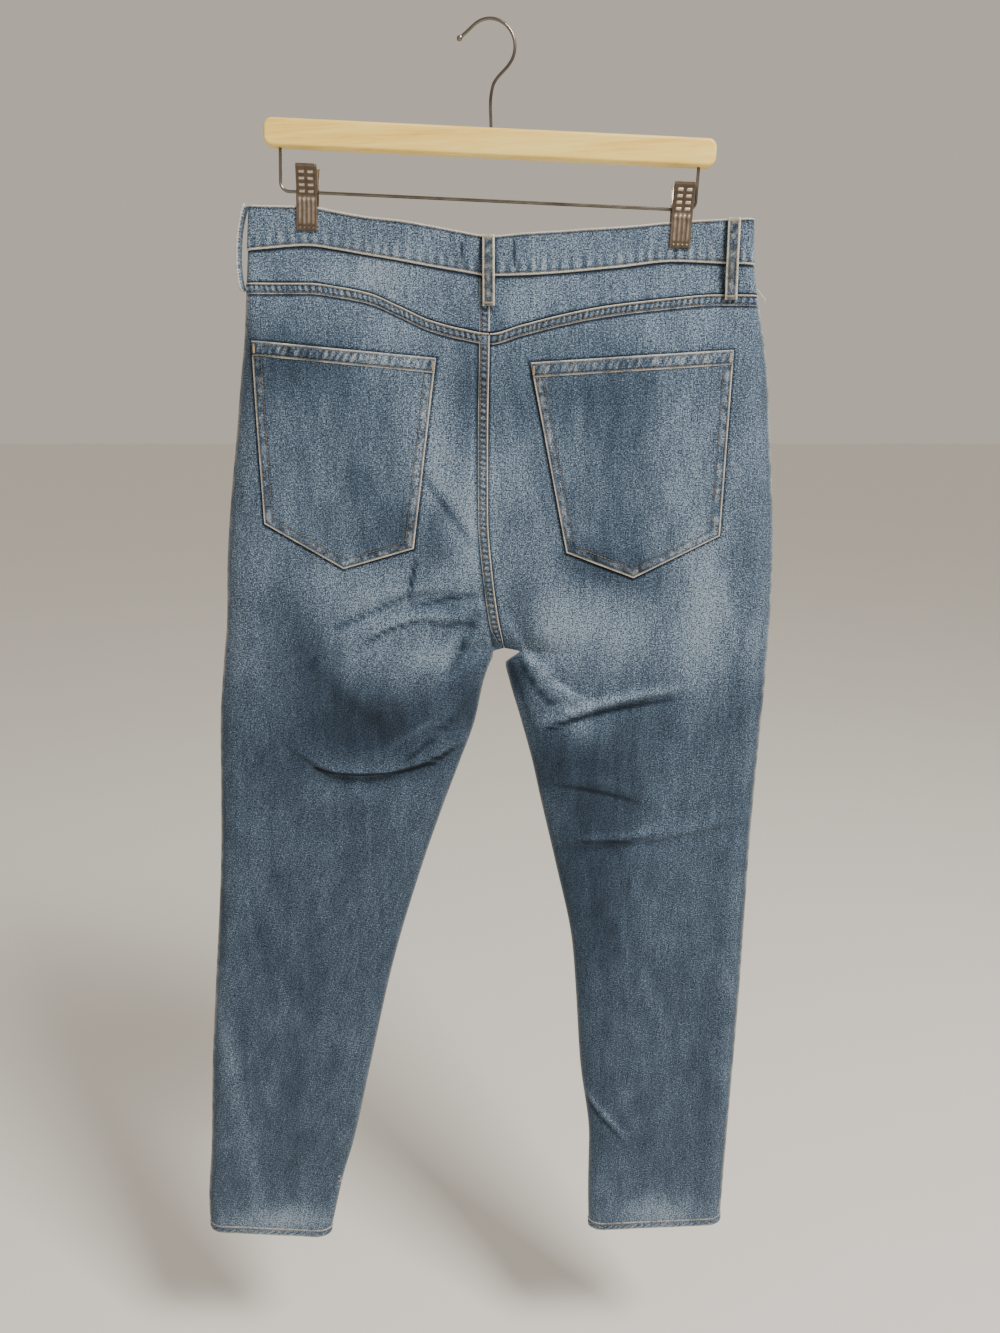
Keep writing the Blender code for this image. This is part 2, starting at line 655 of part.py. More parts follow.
def build_front_panel(side, sheet, material):
    """Front leg panel from the waistband to the hem, with the curved mouth of its pocket cut out."""
    across, height = sheet
    inside, outside = panel_thickness(height, across, height[-3], None)
    name = "front_panel_left" if side == LEFT else "front_panel_right"
    panel = cloth(name, side, FRONT, across, height, inside, outside, material)
    combine(panel, "DIFFERENCE", prism(name + "_mouth", mouth_outline(side, 0.0), FRONT))


def build_yoke(side, material):
    """Back yoke between the waistband and the back panel."""
    _, bottom = columns_on_line(side, back_yoke_line, -210.0, MIDDLE_COLUMNS_BACK)
    _, top = columns_on_line(side, back_band_line, -175.0, MIDDLE_COLUMNS_BACK)
    top = top - 0.5 * SEAM_GAP
    bottom = bottom + 0.5 * SEAM_GAP
    height = np.array([top + (bottom - top) * share for share in np.linspace(0.0, 1.0, YOKE_ROWS)])
    across = column_places(side, height, MIDDLE_COLUMNS_BACK)
    name = "yoke_left" if side == LEFT else "yoke_right"
    return cloth(name, side, BACK, across, height, -DENIM, 0.0, material)


def band_columns(face):
    """Across places of the columns below the waistband, from the left side seam to the right."""
    line = back_band_line if face == BACK else front_band_line
    middle = MIDDLE_COLUMNS_BACK if face == BACK else MIDDLE_COLUMNS_FRONT
    left, _ = columns_on_line(LEFT, line, CLIP_HEIGHT, middle)
    right, _ = columns_on_line(RIGHT, line, CLIP_HEIGHT, middle)
    return left[::-1], right


def band_lattice(face, place):
    """Lattice of the waistband whose columns meet its lower seam at the given across places."""
    table = BACK_LINES if face == BACK else FRONT_LINES
    top = through(table, "across", "band_top", place)
    bottom = through(table, "across", "band_seam", place) + 0.5 * SEAM_GAP
    height = np.array([top + (bottom - top) * row for row in np.linspace(0.0, 1.0, BAND_ROWS)])
    left = outer_edge(LEFT, height)
    right = outer_edge(RIGHT, height)
    share = (place - left[-1]) / (right[-1] - left[-1])
    share = np.where(share < ON_SIDE_SEAM, 0.0, share)
    share = np.where(share > 1 - ON_SIDE_SEAM, 1.0, share)
    return left + (right - left) * share, height


def build_waistband(material):
    """Waistband in three lengths: the back, and two fronts that lap at the button."""
    thickness = BAND_THICKNESS - BAND_PROUD
    left, right = band_columns(BACK)
    across, height = band_lattice(BACK, np.concatenate((left, right[1:])))
    cloth("waistband_back", LEFT, BACK, across, height, -thickness, BAND_PROUD, material)
    left, right = band_columns(FRONT)
    across, height = band_lattice(FRONT, np.concatenate(([-BAND_OVERLAP, -0.5 * BAND_OVERLAP], right)))
    cloth("waistband_front_right", RIGHT, FRONT, across, height, -thickness, BAND_PROUD, material)
    across, height = band_lattice(FRONT, np.concatenate((left, [0.5 * BAND_OVERLAP, BAND_OVERLAP])))
    ramp = smooth_step(-BAND_OVERLAP - OVERLAP_RAMP, -BAND_OVERLAP - OVERLAP_FLAT, across)
    raised = (BAND_THICKNESS + LAP_CLEAR) * ramp
    inside = raised - thickness
    outside = raised + BAND_PROUD
    cloth("waistband_front_left", LEFT, FRONT, across, height, inside, outside, material)


def upper_rows(sheet, lowest):
    """The rows of a sheet that lie wholly above a height, and one more."""
    across, height = sheet
    rows = int(np.sum(height.min(axis=1) > lowest)) + 1
    return across[:rows], height[:rows]


def build_back_pocket(side, sheet, material):
    """Patch pocket with a pointed foot and a thicker folded hem along its mouth."""
    pocket = BACK_POCKETS[side]
    across, height = upper_rows(sheet, pocket.tip[1])
    name = "back_pocket_left" if side == LEFT else "back_pocket_right"
    top = POCKET_LIFT + POCKET_DENIM
    patch = cloth(name, side, BACK, across, height, POCKET_LIFT, top, material)
    combine(patch, "INTERSECT", prism(name + "_outline", list(pocket), BACK))
    left_x = pocket.top_left[0] + POCKET_HEM_INSET
    right_x = pocket.top_right[0] - POCKET_HEM_INSET
    mouth = [
        (left_x, pocket.top_left[1] - POCKET_HEM_INSET),
        (right_x, pocket.top_right[1] - POCKET_HEM_INSET),
        (right_x, pocket.top_right[1] - POCKET_HEM),
        (left_x, pocket.top_left[1] - POCKET_HEM),
    ]
    middle = POCKET_LIFT + 0.5 * POCKET_DENIM
    hem = cloth(name + "_hem", side, BACK, across, height, middle, top + POCKET_HEM_PROUD, material)
    combine(hem, "INTERSECT", prism(name + "_hem_outline", mouth, BACK))
    hide(hem)
    combine(patch, "UNION", hem)


def build_front_facing(side, sheet, material):
    """Pocket facing that shows in the curved mouth and runs on behind the front panel."""
    behind = DENIM + LAP_CLEAR
    _, corner = mouth_corner(side)
    across, height = upper_rows(sheet, corner - MOUTH_DROP - FACING_UNDERLAP)
    height = height - FACING_BELOW_BAND * (np.arange(len(height)) == 0)[:, None]
    name = "front_facing_left" if side == LEFT else "front_facing_right"
    facing = cloth(name, side, FRONT, across, height, -behind - FACING_DENIM, -behind, material)
    combine(facing, "INTERSECT", prism(name + "_outline", mouth_outline(side, FACING_UNDERLAP), FRONT))


def strap(name, path, width_axis, thickness, material):
    """Flat strap of LOOP_WIDTH along a path; `width_axis` is across it, and each ply is closed."""
    tangent = np.gradient(path, axis=0)
    tangent /= np.linalg.norm(tangent, axis=1, keepdims=True)
    width = np.asarray(width_axis, float)
    normal = np.cross(tangent, width)
    normal /= np.linalg.norm(normal, axis=1, keepdims=True)
    offsets = np.array([-0.5, 0.5]) * LOOP_WIDTH
    inner = path[:, None, :] + offsets[None, :, None] * width
    outer = inner + normal[:, None, :] * thickness
    return add_object(name, *wall_mesh(outer, inner), material)


def build_flat_loop(loop, material):
    """Belt loop that lies on the waistband, bowed out between its two sewn ends."""
    place = np.linspace(0.0, 1.0, LOOP_ROWS)
    height = loop.top + (loop.bottom - loop.top) * place
    columns = np.array([-0.5, 0.0, 0.5]) * LOOP_WIDTH + loop.across
    across = np.broadcast_to(columns, (LOOP_ROWS, 3)).copy()
    height = np.broadcast_to(height[:, None], across.shape).copy()
    lift = BAND_PROUD + LOOP_CLEAR + LOOP_BULGE * np.sin(np.pi * place[:, None]) ** 0.8
    lift = np.broadcast_to(lift, across.shape)
    side = LEFT if loop.across < 0 else RIGHT
    cloth(loop.name, side, loop.face, across, height, lift, lift + LOOP_THICKNESS, material)


def build_side_loop(material):
    """Belt loop at the left side seam, seen edge-on, standing off the folded edge."""
    place = np.linspace(0.0, 1.0, LOOP_ROWS)
    height = SIDE_LOOP_TOP + (SIDE_LOOP_BOTTOM - SIDE_LOOP_TOP) * place
    clear = BAND_PROUD + LOOP_CLEAR + (SIDE_LOOP_BULGE - LOOP_CLEAR) * np.sin(np.pi * place) ** 0.6
    across = outer_edge(LEFT, height) - clear
    path = np.stack((across, np.zeros(LOOP_ROWS), height), axis=-1)
    strap("belt_loop_left_side", path, (0.0, -1.0, 0.0), LOOP_THICKNESS, material)


def build_fly(sheet, material):
    """Fly facing on the left front, square at the waistband and curved into the centre seam."""
    across, height = upper_rows(sheet, FLY_BOTTOM)
    edge = -0.5 * SEAM_GAP - FLY_INSET
    across_top = np.linspace(edge, edge - FLY_WIDTH, 5)
    top = list(zip(across_top, front_band_line(across_top) - FLY_BELOW_BAND))
    turns = np.linspace(0.0, 0.5 * math.pi, 8)
    curve = [
        (edge - FLY_WIDTH * math.cos(turn), FLY_BOTTOM + FLY_CURVE * (1 - math.sin(turn))) for turn in turns
    ]
    outline = top + curve
    fly = cloth("fly", LEFT, FRONT, across, height, FLY_LIFT, FLY_LIFT + FLY_DENIM, material)
    combine(fly, "INTERSECT", prism("fly_outline", outline, FRONT))


def build_button(material):
    """Shank button: a low turned disc on the lapped end of the waistband."""
    height = 0.5 * (
        through(FRONT_LINES, "across", "band_top", np.array([0.0]))[0]
        + through(FRONT_LINES, "across", "band_seam", np.array([0.0]))[0]
    )
    face_depth = depth_at(LEFT, FRONT, np.array([0.0]), np.array([height]))[0] + 0.5 * SEAM_GAP
    seat = face_depth + BAND_PROUD + BAND_THICKNESS + LAP_CLEAR + BUTTON_CLEAR
    radii = np.array([0.0, 0.8, 1.0, 1.0, 0.86, 0.0]) * BUTTON_RADIUS
    levels = np.array([0.0, 0.0, 0.25, 0.75, 1.0, 0.86]) * BUTTON_HEIGHT
    turns = np.linspace(0.0, 2 * np.pi, BUTTON_SEGMENTS, endpoint=False)
    points = [(0.0, seat + levels[0], height)]
    for radius, level in zip(radii[1:-1], levels[1:-1]):
        for turn in turns:
            points.append((radius * math.cos(turn), seat + level, height + radius * math.sin(turn)))
    points.append((0.0, seat + levels[-1], height))
    count = len(turns)
    faces = [(0, 1 + k, 1 + (k + 1) % count) for k in range(count)]
    for ring in range(len(radii) - 3):
        base = 1 + ring * count
        for k in range(count):
            beside = base + (k + 1) % count
            faces.append((base + k, beside, beside + count, base + count + k))
    last = 1 + (len(radii) - 3) * count
    faces += [(last + k, last + (k + 1) % count, len(points) - 1) for k in range(count)]
    add_object("button", np.array(points), faces, material)


def hanger_point(u, y, v):
    """World place of a point given along the bar (u), through it (y) and up from its top (v)."""
    x = BAR_TOP_CENTRE[0] + u * math.cos(HANGER_TILT) + v * math.sin(HANGER_TILT)
    z = BAR_TOP_CENTRE[1] - u * math.sin(HANGER_TILT) + v * math.cos(HANGER_TILT)
    return np.array((x, y, z))


def build_bar(material):
    """Wooden bar: a long board with rounded ends and softened edges."""
    shape = bmesh.new()
    bmesh.ops.create_cube(shape, size=1.0)
    bmesh.ops.scale(shape, vec=(BAR_LENGTH * MM, BAR_DEPTH * MM, BAR_HEIGHT * MM), verts=shape.verts)
    through_bar = 0.5 * BAR_DEPTH * MM
    ends = [edge for edge in shape.edges if abs(edge.verts[0].co.y - edge.verts[1].co.y) > through_bar]
    bmesh.ops.bevel(shape, geom=ends, offset=BAR_END_ROUND * MM, segments=4, profile=0.5, affect="EDGES")
    rims = [edge for edge in shape.edges if abs(edge.verts[0].co.y - edge.verts[1].co.y) < 1e-7]
    bmesh.ops.bevel(shape, geom=rims, offset=BAR_EDGE_ROUND * MM, segments=2, profile=0.5, affect="EDGES")
    mesh = bpy.data.meshes.new("hanger_bar")
    shape.to_mesh(mesh)
    shape.free()
    mesh.materials.append(material)
    mesh.shade_smooth()
    mesh.set_sharp_from_angle(angle=math.radians(35.0))
    bar = bpy.data.objects.new("hanger_bar", mesh)
    bar.location = hanger_point(0.0, 0.0, -0.5 * BAR_HEIGHT) * MM
    bar.rotation_euler = (0.0, HANGER_TILT, 0.0)
    bpy.context.scene.collection.objects.link(bar)


def tube(name, path, radius, scale, material):
    """Round wire along a path, as a bevelled curve with filled caps."""
    curve = bpy.data.curves.new(name, "CURVE")
    curve.dimensions = "3D"
    curve.bevel_depth = radius * MM
    curve.bevel_resolution = 2
    curve.use_fill_caps = True
    spline = curve.splines.new("POLY")
    spline.points.add(len(path) - 1)
    for point, place, width in zip(spline.points, path, scale):
        point.co = (*(np.asarray(place) * MM), 1.0)
        point.radius = width
    curve.materials.append(material)
    wire = bpy.data.objects.new(name, curve)
    bpy.context.scene.collection.objects.link(wire)


def hook_path():
    """Hook route in the plane y = 0: stem, slant, three quarters of a ring, and a flat tip."""
    centre_z = HOOK_WIRE_RADIUS - HOOK_RADIUS
    foot = hanger_point(0.0, 0.0, SEAM_GAP)
    route = [(foot[0], foot[2]), (foot[0] + 0.4, HOOK_STEM_TOP - 2.0), (foot[0] + 1.6, HOOK_STEM_TOP + 3.0)]
    start_angle = math.radians(-38.0)
    end_angle = math.radians(128.0)
    for angle in np.linspace(start_angle, end_angle, 22):
        route.append((HOOK_RADIUS * math.cos(angle), centre_z + HOOK_RADIUS * math.sin(angle)))
    last = route[-1]
    for share in (0.35, 0.7, 0.9, 1.0):
        bend = 1.8 * math.sin(math.pi * share)
        route.append((
            last[0] + (HOOK_TIP[0] - last[0]) * share - 0.5 * bend,
            last[1] + (HOOK_TIP[1] - last[1]) * share - 0.5 * bend,
        ))
    return [(x, 0.0, z) for x, z in route]


def build_hook(material):
    """Steel hook above the bar, with a small ball on its tip."""
    path = hook_path()
    scale = [1.0] * len(path)
    scale[-2] = 1.6
    scale[-1] = 1.2
    tube("hanger_hook", path, HOOK_WIRE_RADIUS, scale, material)


def build_clip_wire(material):
    """Steel wire under the bar: down at both ends, with round corners, and straight across."""
    top_v = -BAR_HEIGHT - SEAM_GAP
    route = [(-WIRE_DROP_U, top_v)]
    for turn in np.linspace(0.0, 0.5 * math.pi, 5):
        route.append((
            -WIRE_DROP_U + WIRE_CORNER * (1 - math.cos(turn)),
            WIRE_V + WIRE_CORNER * (1 - math.sin(turn)),
        ))
    route += [(-u, v) for u, v in reversed(route)]
    path = [hanger_point(u, 0.0, v) for u, v in route]
    tube("hanger_wire", path, WIRE_RADIUS, [1.0] * len(path), material)


def clip_centre(across):
    """Place along the bar whose clip foot lies at the given across place."""
    return (across - BAR_TOP_CENTRE[0] - CLIP_BOTTOM_V * math.sin(HANGER_TILT)) / math.cos(HANGER_TILT)


def build_jaw(name, centre_u, face, material):
    """Pressed steel jaw: flat on the waistband, bent out above the wire, with side flanges."""
    v = column(JAW_PROFILE, "v")
    depth = column(JAW_PROFILE, "inner_depth")
    half = 0.5 * CLIP_WIDTH
    outer_u = np.array([-half, -half, -0.8 * half, 0.8 * half, half, half])
    inner_u = np.clip(outer_u, CLIP_SHEET - half, half - CLIP_SHEET)
    turned = np.array([1.0, 0.0, 0.0, 0.0, 0.0, 1.0])
    flange = np.clip(depth - depth[0] + CLIP_RIM, CLIP_RIM, CLIP_FLANGE)
    outer = []
    inner = []
    for height, d, f in zip(v, depth, flange):
        outer_y = face * (d + CLIP_SHEET - turned * f)
        inner_y = face * (d - turned * f)
        outer.append([hanger_point(centre_u + u, y, height) for u, y in zip(outer_u, outer_y)])
        inner.append([hanger_point(centre_u + u, y, height) for u, y in zip(inner_u, inner_y)])
    outer = np.array(outer)
    inner = np.array(inner)
    add_object(name, *wall_mesh(outer, inner), material, smooth=False)


def build_spring(name, centre_u, material):
    """Coil body round the wire that carries the two jaws: a short ring with a hole."""
    turns = np.linspace(0.0, 2 * np.pi, 14, endpoint=False)
    points = []
    for radius in (WIRE_RADIUS + SEAM_GAP, SPRING_RADIUS):
        for end in (-0.5, 0.5):
            for turn in turns:
                u = centre_u + end * SPRING_LENGTH
                points.append(hanger_point(u, radius * math.cos(turn), WIRE_V + radius * math.sin(turn)))
    count = len(turns)
    low_in, high_in, low_out, high_out = (k * count for k in range(4))
    faces = []
    for k in range(count):
        n = (k + 1) % count
        faces.append((low_in + k, high_in + k, high_in + n, low_in + n))
        faces.append((low_out + k, low_out + n, high_out + n, high_out + k))
        faces.append((low_in + k, low_in + n, low_out + n, low_out + k))
        faces.append((high_in + k, high_out + k, high_out + n, high_in + n))
    add_object(name, np.array(points), faces, material)


def build_clips(material):
    """Two spring clips, each of a back jaw, a front jaw and the coil on the wire."""
    for label, across in zip(("left", "right"), CLIP_ACROSS):
        centre_u = clip_centre(across)
        build_jaw(f"clip_jaw_back_{label}", centre_u, BACK, material)
        build_jaw(f"clip_jaw_front_{label}", centre_u, FRONT, material)
        build_spring(f"clip_spring_{label}", centre_u, material)


def finish(name, colour, roughness, metallic):
    """Plain finish of one material: colour, roughness and metal."""
    material = bpy.data.materials.new(name)
    material.use_nodes = True
    shader = material.node_tree.nodes["Principled BSDF"]
    shader.inputs["Base Color"].default_value = (*colour, 1.0)
    shader.inputs["Roughness"].default_value = roughness
    shader.inputs["Metallic"].default_value = metallic
    return material


def main():
    """Clear the scene and build every piece."""
    for existing in list(bpy.data.objects):
        bpy.data.objects.remove(existing)
    denim = finish("denim", (0.17, 0.25, 0.35), 0.9, 0.0)
    wood = finish("wood", (0.72, 0.52, 0.29), 0.55, 0.0)
    steel = finish("steel", (0.55, 0.53, 0.5), 0.3, 1.0)
    sheets = panel_sheets()
    for side in (LEFT, RIGHT):
        build_back_panel(side, sheets[side, BACK], denim)
        build_front_panel(side, sheets[side, FRONT], denim)
        build_yoke(side, denim)
        build_back_pocket(side, sheets[side, BACK], denim)
        build_front_facing(side, sheets[side, FRONT], denim)
    build_waistband(denim)
    for loop in LOOPS:
        build_flat_loop(loop, denim)
    build_side_loop(denim)
    build_fly(sheets[LEFT, FRONT], denim)
    build_button(steel)
    build_bar(wood)
    build_hook(steel)
    build_clip_wire(steel)
    build_clips(steel)


main()
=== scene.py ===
"""Looks of the ankle jeans on their wooden clip hanger: every cut and sewn piece as cloth.

Sizes are in millimetres and become metres when a mesh is made. +Z is up and the back of the
garment faces -Y. The garment's outer face is one function of place, the same as in the part's
source: how far the cloth stands from the flat middle plane y = 0. Each piece of cloth is a closed
wall on that face with rounded edges. Seams, hems, stitches and fading lie on it where they lie on
the real ones. Each vertex of cloth carries `tone`, from 0 for dark unwashed blue to 1 for bleached,
and `wear`, from 0 to 1 where an edge is rubbed to the bare cotton. `tone` also carries painted
shade in creases, beside the fells and belt loops and under the waistband, and painted
highlights on some folds.
"""

import math
from collections import namedtuple

import bpy
import numpy as np
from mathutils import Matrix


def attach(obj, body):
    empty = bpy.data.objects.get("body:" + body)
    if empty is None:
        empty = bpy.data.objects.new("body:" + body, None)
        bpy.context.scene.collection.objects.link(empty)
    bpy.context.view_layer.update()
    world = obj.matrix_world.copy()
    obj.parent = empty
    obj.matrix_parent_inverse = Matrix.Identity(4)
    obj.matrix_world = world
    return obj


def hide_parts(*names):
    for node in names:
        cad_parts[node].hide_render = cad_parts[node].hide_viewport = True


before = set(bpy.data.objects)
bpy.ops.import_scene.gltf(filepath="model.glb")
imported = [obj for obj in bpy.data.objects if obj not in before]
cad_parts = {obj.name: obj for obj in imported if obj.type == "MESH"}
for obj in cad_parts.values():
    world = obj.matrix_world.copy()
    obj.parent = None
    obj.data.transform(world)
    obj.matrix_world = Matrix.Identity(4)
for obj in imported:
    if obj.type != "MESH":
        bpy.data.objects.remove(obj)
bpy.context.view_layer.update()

MM = 0.001
BACK = -1
FRONT = 1
LEFT = -1
RIGHT = 1
TUCK = True
PLAIN = False


def records(kind, *rows):
    """A table of records of one kind from rows of numbers."""
    return tuple(kind(*row) for row in rows)


# Cloth and seams
SEAM_GAP = 0.3
DENIM = 1.5
BAND_PROUD = 0.8
BAND_THICKNESS = 2.5
FELLED_WIDTH = 9.0
FELLED_PROUD = 0.6
HEM_HEIGHT = 9.0
CROTCH = -501.5
SEAM_TOLERANCE = 0.002
FAR = 99.0

# Garment outline, from the waist to the hems, and half of its depth front to back
Outline = namedtuple("Outline", "height left_side right_side half_depth")
OUTLINE = records(
    Outline,
    (-130, -195, 213, 9), (-167, -198.5, 215, 9.5), (-206, -202.5, 221.5, 11), (-236, -205.5, 228, 13),
    (-268, -210.5, 233.5, 14.5), (-311, -216.5, 238, 15.5), (-370, -225.5, 244, 16), (-422, -232, 248, 16),
    (-476, -236, 249, 15), (-515, -241.5, 248.5, 14), (-569, -248, 247, 13), (-627, -251.5, 245, 12.5),
    (-708, -257, 243.5, 11.5), (-835, -270.5, 243, 10.5), (-925, -280, 241.5, 10),
    (-1019, -287.5, 239.5, 9.5), (-1104, -295.5, 238, 9), (-1140, -294, 237, 8.5),
)

# Inner edges of the two legs below the crotch, with the notch where the right thigh folds away.
# Above LEG_FORK the distance from the inseam turns into that from the centre seam.
LEG_FORK = -505.0
FORK_FADE = 20.0
Inseam = namedtuple("Inseam", "height left_leg right_leg")
INSEAM = records(
    Inseam,
    (-501.5, 11.5, 11.5), (-504.5, 2, 25), (-509, 1.5, 19), (-515, -1, 12.5), (-531, -6.5, 16),
    (-569, -15, 27), (-608, -29, 37.5), (-647, -43.5, 46), (-708, -64.5, 60), (-792, -90, 77.5),
    (-835, -101, 81.5), (-925, -121, 88), (-1019, -142, 99), (-1060, -154, 99), (-1104, -164, 100),
    (-1140, -172, 102),
)

# Centre seam down the seat; depth_share is its depth as a share of the depth beside it
CentreSeam = namedtuple("CentreSeam", "height across depth_share")
CENTRE_SEAM = records(
    CentreSeam,
    (-130, 0, 1), (-245, -1, 1), (-312, -2.3, 0.97), (-383, -2.5, 0.93), (-431, 1, 0.85), (-471, 6, 0.6),
    (-490, 9.5, 0.33), (-501.5, 11.5, 0),
)

# Lines across the back, which sag between the two clips
WaistLine = namedtuple("WaistLine", "across band_top band_seam yoke_seam")
BACK_LINES = records(
    WaistLine,
    (-200, -133.5, -168.5, -193), (-150, -134, -164.5, -193), (-125, -138, -167.5, -196),
    (-100, -142.5, -172, -201), (-75, -145.5, -176.5, -211.5), (-50, -149.5, -181, -222.5),
    (-25, -154, -185, -229), (0, -157.5, -188.5, -233), (25, -155.5, -188, -226.5),
    (60, -153.5, -186, -218), (100, -150.5, -182, -210.5), (150, -145.8, -176.6, -204.7),
    (185, -144, -178, -202), (216, -143.5, -179.5, -202.5),
)

# The front waist hangs lower in the middle, as a front rise does
FrontLine = namedtuple("FrontLine", "across band_top band_seam")
FRONT_LINES = records(
    FrontLine,
    (-200, -133.5, -168.5), (-150, -134, -166), (-75, -157, -190), (0, -170, -204), (75, -164, -197),
    (150, -145.8, -178), (216, -143.5, -179.5),
)

# How wide the rounding is along the outer and the inner edges
EdgeRound = namedtuple("EdgeRound", "height outer inner inner_power")
EDGE_ROUND = records(
    EdgeRound,
    (-150, 9, 70, 1.2), (-200, 14, 70, 1.2), (-300, 26, 70, 1.2), (-490, 26, 62, 1.1), (-540, 24, 46, 0.8),
    (-620, 22, 28, 0.6), (-740, 19, 20, 0.55), (-1130, 14, 14, 0.55),
)
OUTER_POWER = 0.55

# Width of the rounding at the ends of the pieces that lie across a panel's outer edge
HEM_ROUND = 14.0
BAND_ROUND = 9.0
MOUTH_ROUND = 18.0
FACING_ROUND = 16.0

# Folds: a bent line from start over a bend point to an end. A plain fold is a soft ridge or trough.
# A tuck bulges above its line and falls in sharply below it.
Fold = namedtuple("Fold", "face tuck start_x start_z bend_x bend_z end_x end_z width height")


def folds(face, tuck, *rows):
    """Folds on one face, which are all tucks or all plain."""
    return records(Fold, *((face, tuck, *row) for row in rows))


FOLDS = (
    *folds(BACK, TUCK, (-169, -602, -120, -641, -31, -592, 20, 3.6)),
    *folds(
        BACK, PLAIN,
        (-140, -480, -80, -455, -5, -452, 9, -2.6), (-110, -499, -60, -494, -14, -476, 8, -2.2),
        (-68, -456, -66, -440, -53, -420, 8, -1.3), (-170, -575, -110, -590, -60, -555, 18, -1.8),
        (-12, -516, -34, -548, -50, -592, 11, 1.8),
    ),
    *folds(BACK, TUCK, (86, -552, 42, -520, 15, -474, 10, -2.6)),
    *folds(BACK, PLAIN, (17, -440, 20, -470, 31, -496, 8, -2.4)),
    *folds(BACK, TUCK, (45, -577, 90, -550, 168, -540, 11, 3)),
    *folds(BACK, PLAIN, (63, -620, 100, -624, 134, -637, 7, 1.2)),
    *folds(
        BACK, TUCK,
        (68, -690, 150, -688, 236, -662, 14, 2), (94, -966, 106, -975, 118, -994, 7, 1.8),
        (113, -1003, 124, -1008, 136, -1018, 6, 1.4),
    ),
    *folds(
        BACK, PLAIN,
        (-232, -560, -240, -820, -262, -1080, 17, 1.4), (-150, -680, -188, -860, -222, -1040, 20, -1.2),
        (214, -600, 214, -820, 205, -1060, 18, -1.3), (130, -700, 150, -860, 165, -1060, 20, 1.2),
    ),
    *folds(
        FRONT, TUCK,
        (-40, -572, -110, -606, -190, -580, 17, 2.6), (62, -560, 130, -592, 205, -566, 16, 2.4),
    ),
    *folds(
        FRONT, PLAIN,
        (0, -486, -60, -462, -128, -452, 10, -2.4), (18, -488, 80, -470, 150, -446, 10, -2.2),
        (-20, -520, -70, -512, -120, -496, 9, 1.8), (34, -530, 90, -520, 140, -500, 9, 1.6),
    ),
    *folds(
        FRONT, TUCK,
        (-90, -700, -150, -722, -230, -708, 14, 2), (78, -735, 140, -752, 222, -738, 14, 1.8),
    ),
    *folds(
        FRONT, PLAIN,
        (-215, -620, -232, -840, -252, -1060, 18, 1.3), (190, -620, 192, -840, 186, -1060, 18, 1.3),
    ),
)
FOLD_SAMPLES = 17
FOLD_REACH = 3.5
FOLD_EDGE_FADE = 14.0
FOLDS_CROSS_SEAM = 40.0
FOLD_END_SHARE = 0.08
TUCK_SHARPNESS = 1.3
TUCK_FALL_WIDTH = 0.7
TUCK_FALL_DEPTH = 0.7

# Hem lines: the height at the inner and at the outer edge of each leg
HEM_INNER = {LEFT: -1131.0, RIGHT: -1122.0}
HEM_OUTER = {LEFT: -1124.0, RIGHT: -1115.0}

# Where the clips pinch the waist flat
CLIP_ACROSS = (-149.0, 154.0)
PINCHED_DEPTH = 2.0
PINCH_FLAT = 20.0
PINCH_REACH = 85.0
PINCH_BELOW = 80.0
CLIP_HEIGHT = -165.0

# Back pockets: corners of the patch, each as (across, height)
Pocket = namedtuple("Pocket", "top_left top_right bottom_right tip bottom_left")
BACK_POCKETS = {
    LEFT: Pocket((-197, -239), (-45, -253), (-66.5, -410), (-127.5, -427.5), (-194, -388.5)),
    RIGHT: Pocket((33, -256.5), (200.5, -246.5), (196.5, -399), (123.5, -435.5), (65, -413.5)),
}
POCKET_LIFT = 0.4
POCKET_DENIM = 1.4
POCKET_HEM = 12.0
POCKET_HEM_RISE = 0.62

# Front pockets: a curved mouth from the waistband to the side seam, with a facing behind it
MOUTH_WIDTH = 96.0
MOUTH_DROP = 74.0
FACING_UNDERLAP = 20.0
FACING_DENIM = 1.2
FACING_BELOW_BAND = 1.2

# Belt loops
LOOP_WIDTH = 10.0
LOOP_THICKNESS = 2.2
LOOP_BULGE = 2.8
LOOP_CLEAR = 0.5
SIDE_LOOP_BULGE = 5.8
SIDE_LOOP_ROPE = 0.6
Loop = namedtuple("Loop", "name face across top bottom")
LOOPS = (
    Loop("belt_loop_centre_back", BACK, -1.5, -157.0, -212.0),
    Loop("belt_loop_right_back", BACK, 197.5, -143.5, -207.0),
    Loop("belt_loop_left_front", FRONT, -90.0, -152.0, -206.0),
    Loop("belt_loop_right_front", FRONT, 102.0, -158.0, -210.0),
)
SIDE_LOOP_TOP = -134.0
SIDE_LOOP_BOTTOM = -198.0

# Fly and button on the front
FLY_WIDTH = 36.0
FLY_BOTTOM = -352.0
FLY_DENIM = 1.0
FLY_LIFT = 0.4
FLY_CURVE = 52.0
FLY_INSET = 2.4
FLY_BELOW_BAND = 1.0
BAND_OVERLAP = 14.0
OVERLAP_RAMP = 24.0
OVERLAP_FLAT = 3.0
LAP_CLEAR = 0.4
BUTTON_RADIUS = 8.5
BUTTON_HEIGHT = 3.0
BUTTON_CLEAR = 0.5
BUTTON_PROFILE = (
    (0.5, 0.0), (0.8, 0.0), (0.94, 0.06), (1.0, 0.2), (1.0, 0.7), (0.96, 0.9), (0.9, 1.0), (0.82, 0.95),
    (0.74, 0.78), (0.6, 0.7), (0.4, 0.7), (0.3, 0.74), (0.2, 0.84),
)
BUTTON_CENTRE = 0.88

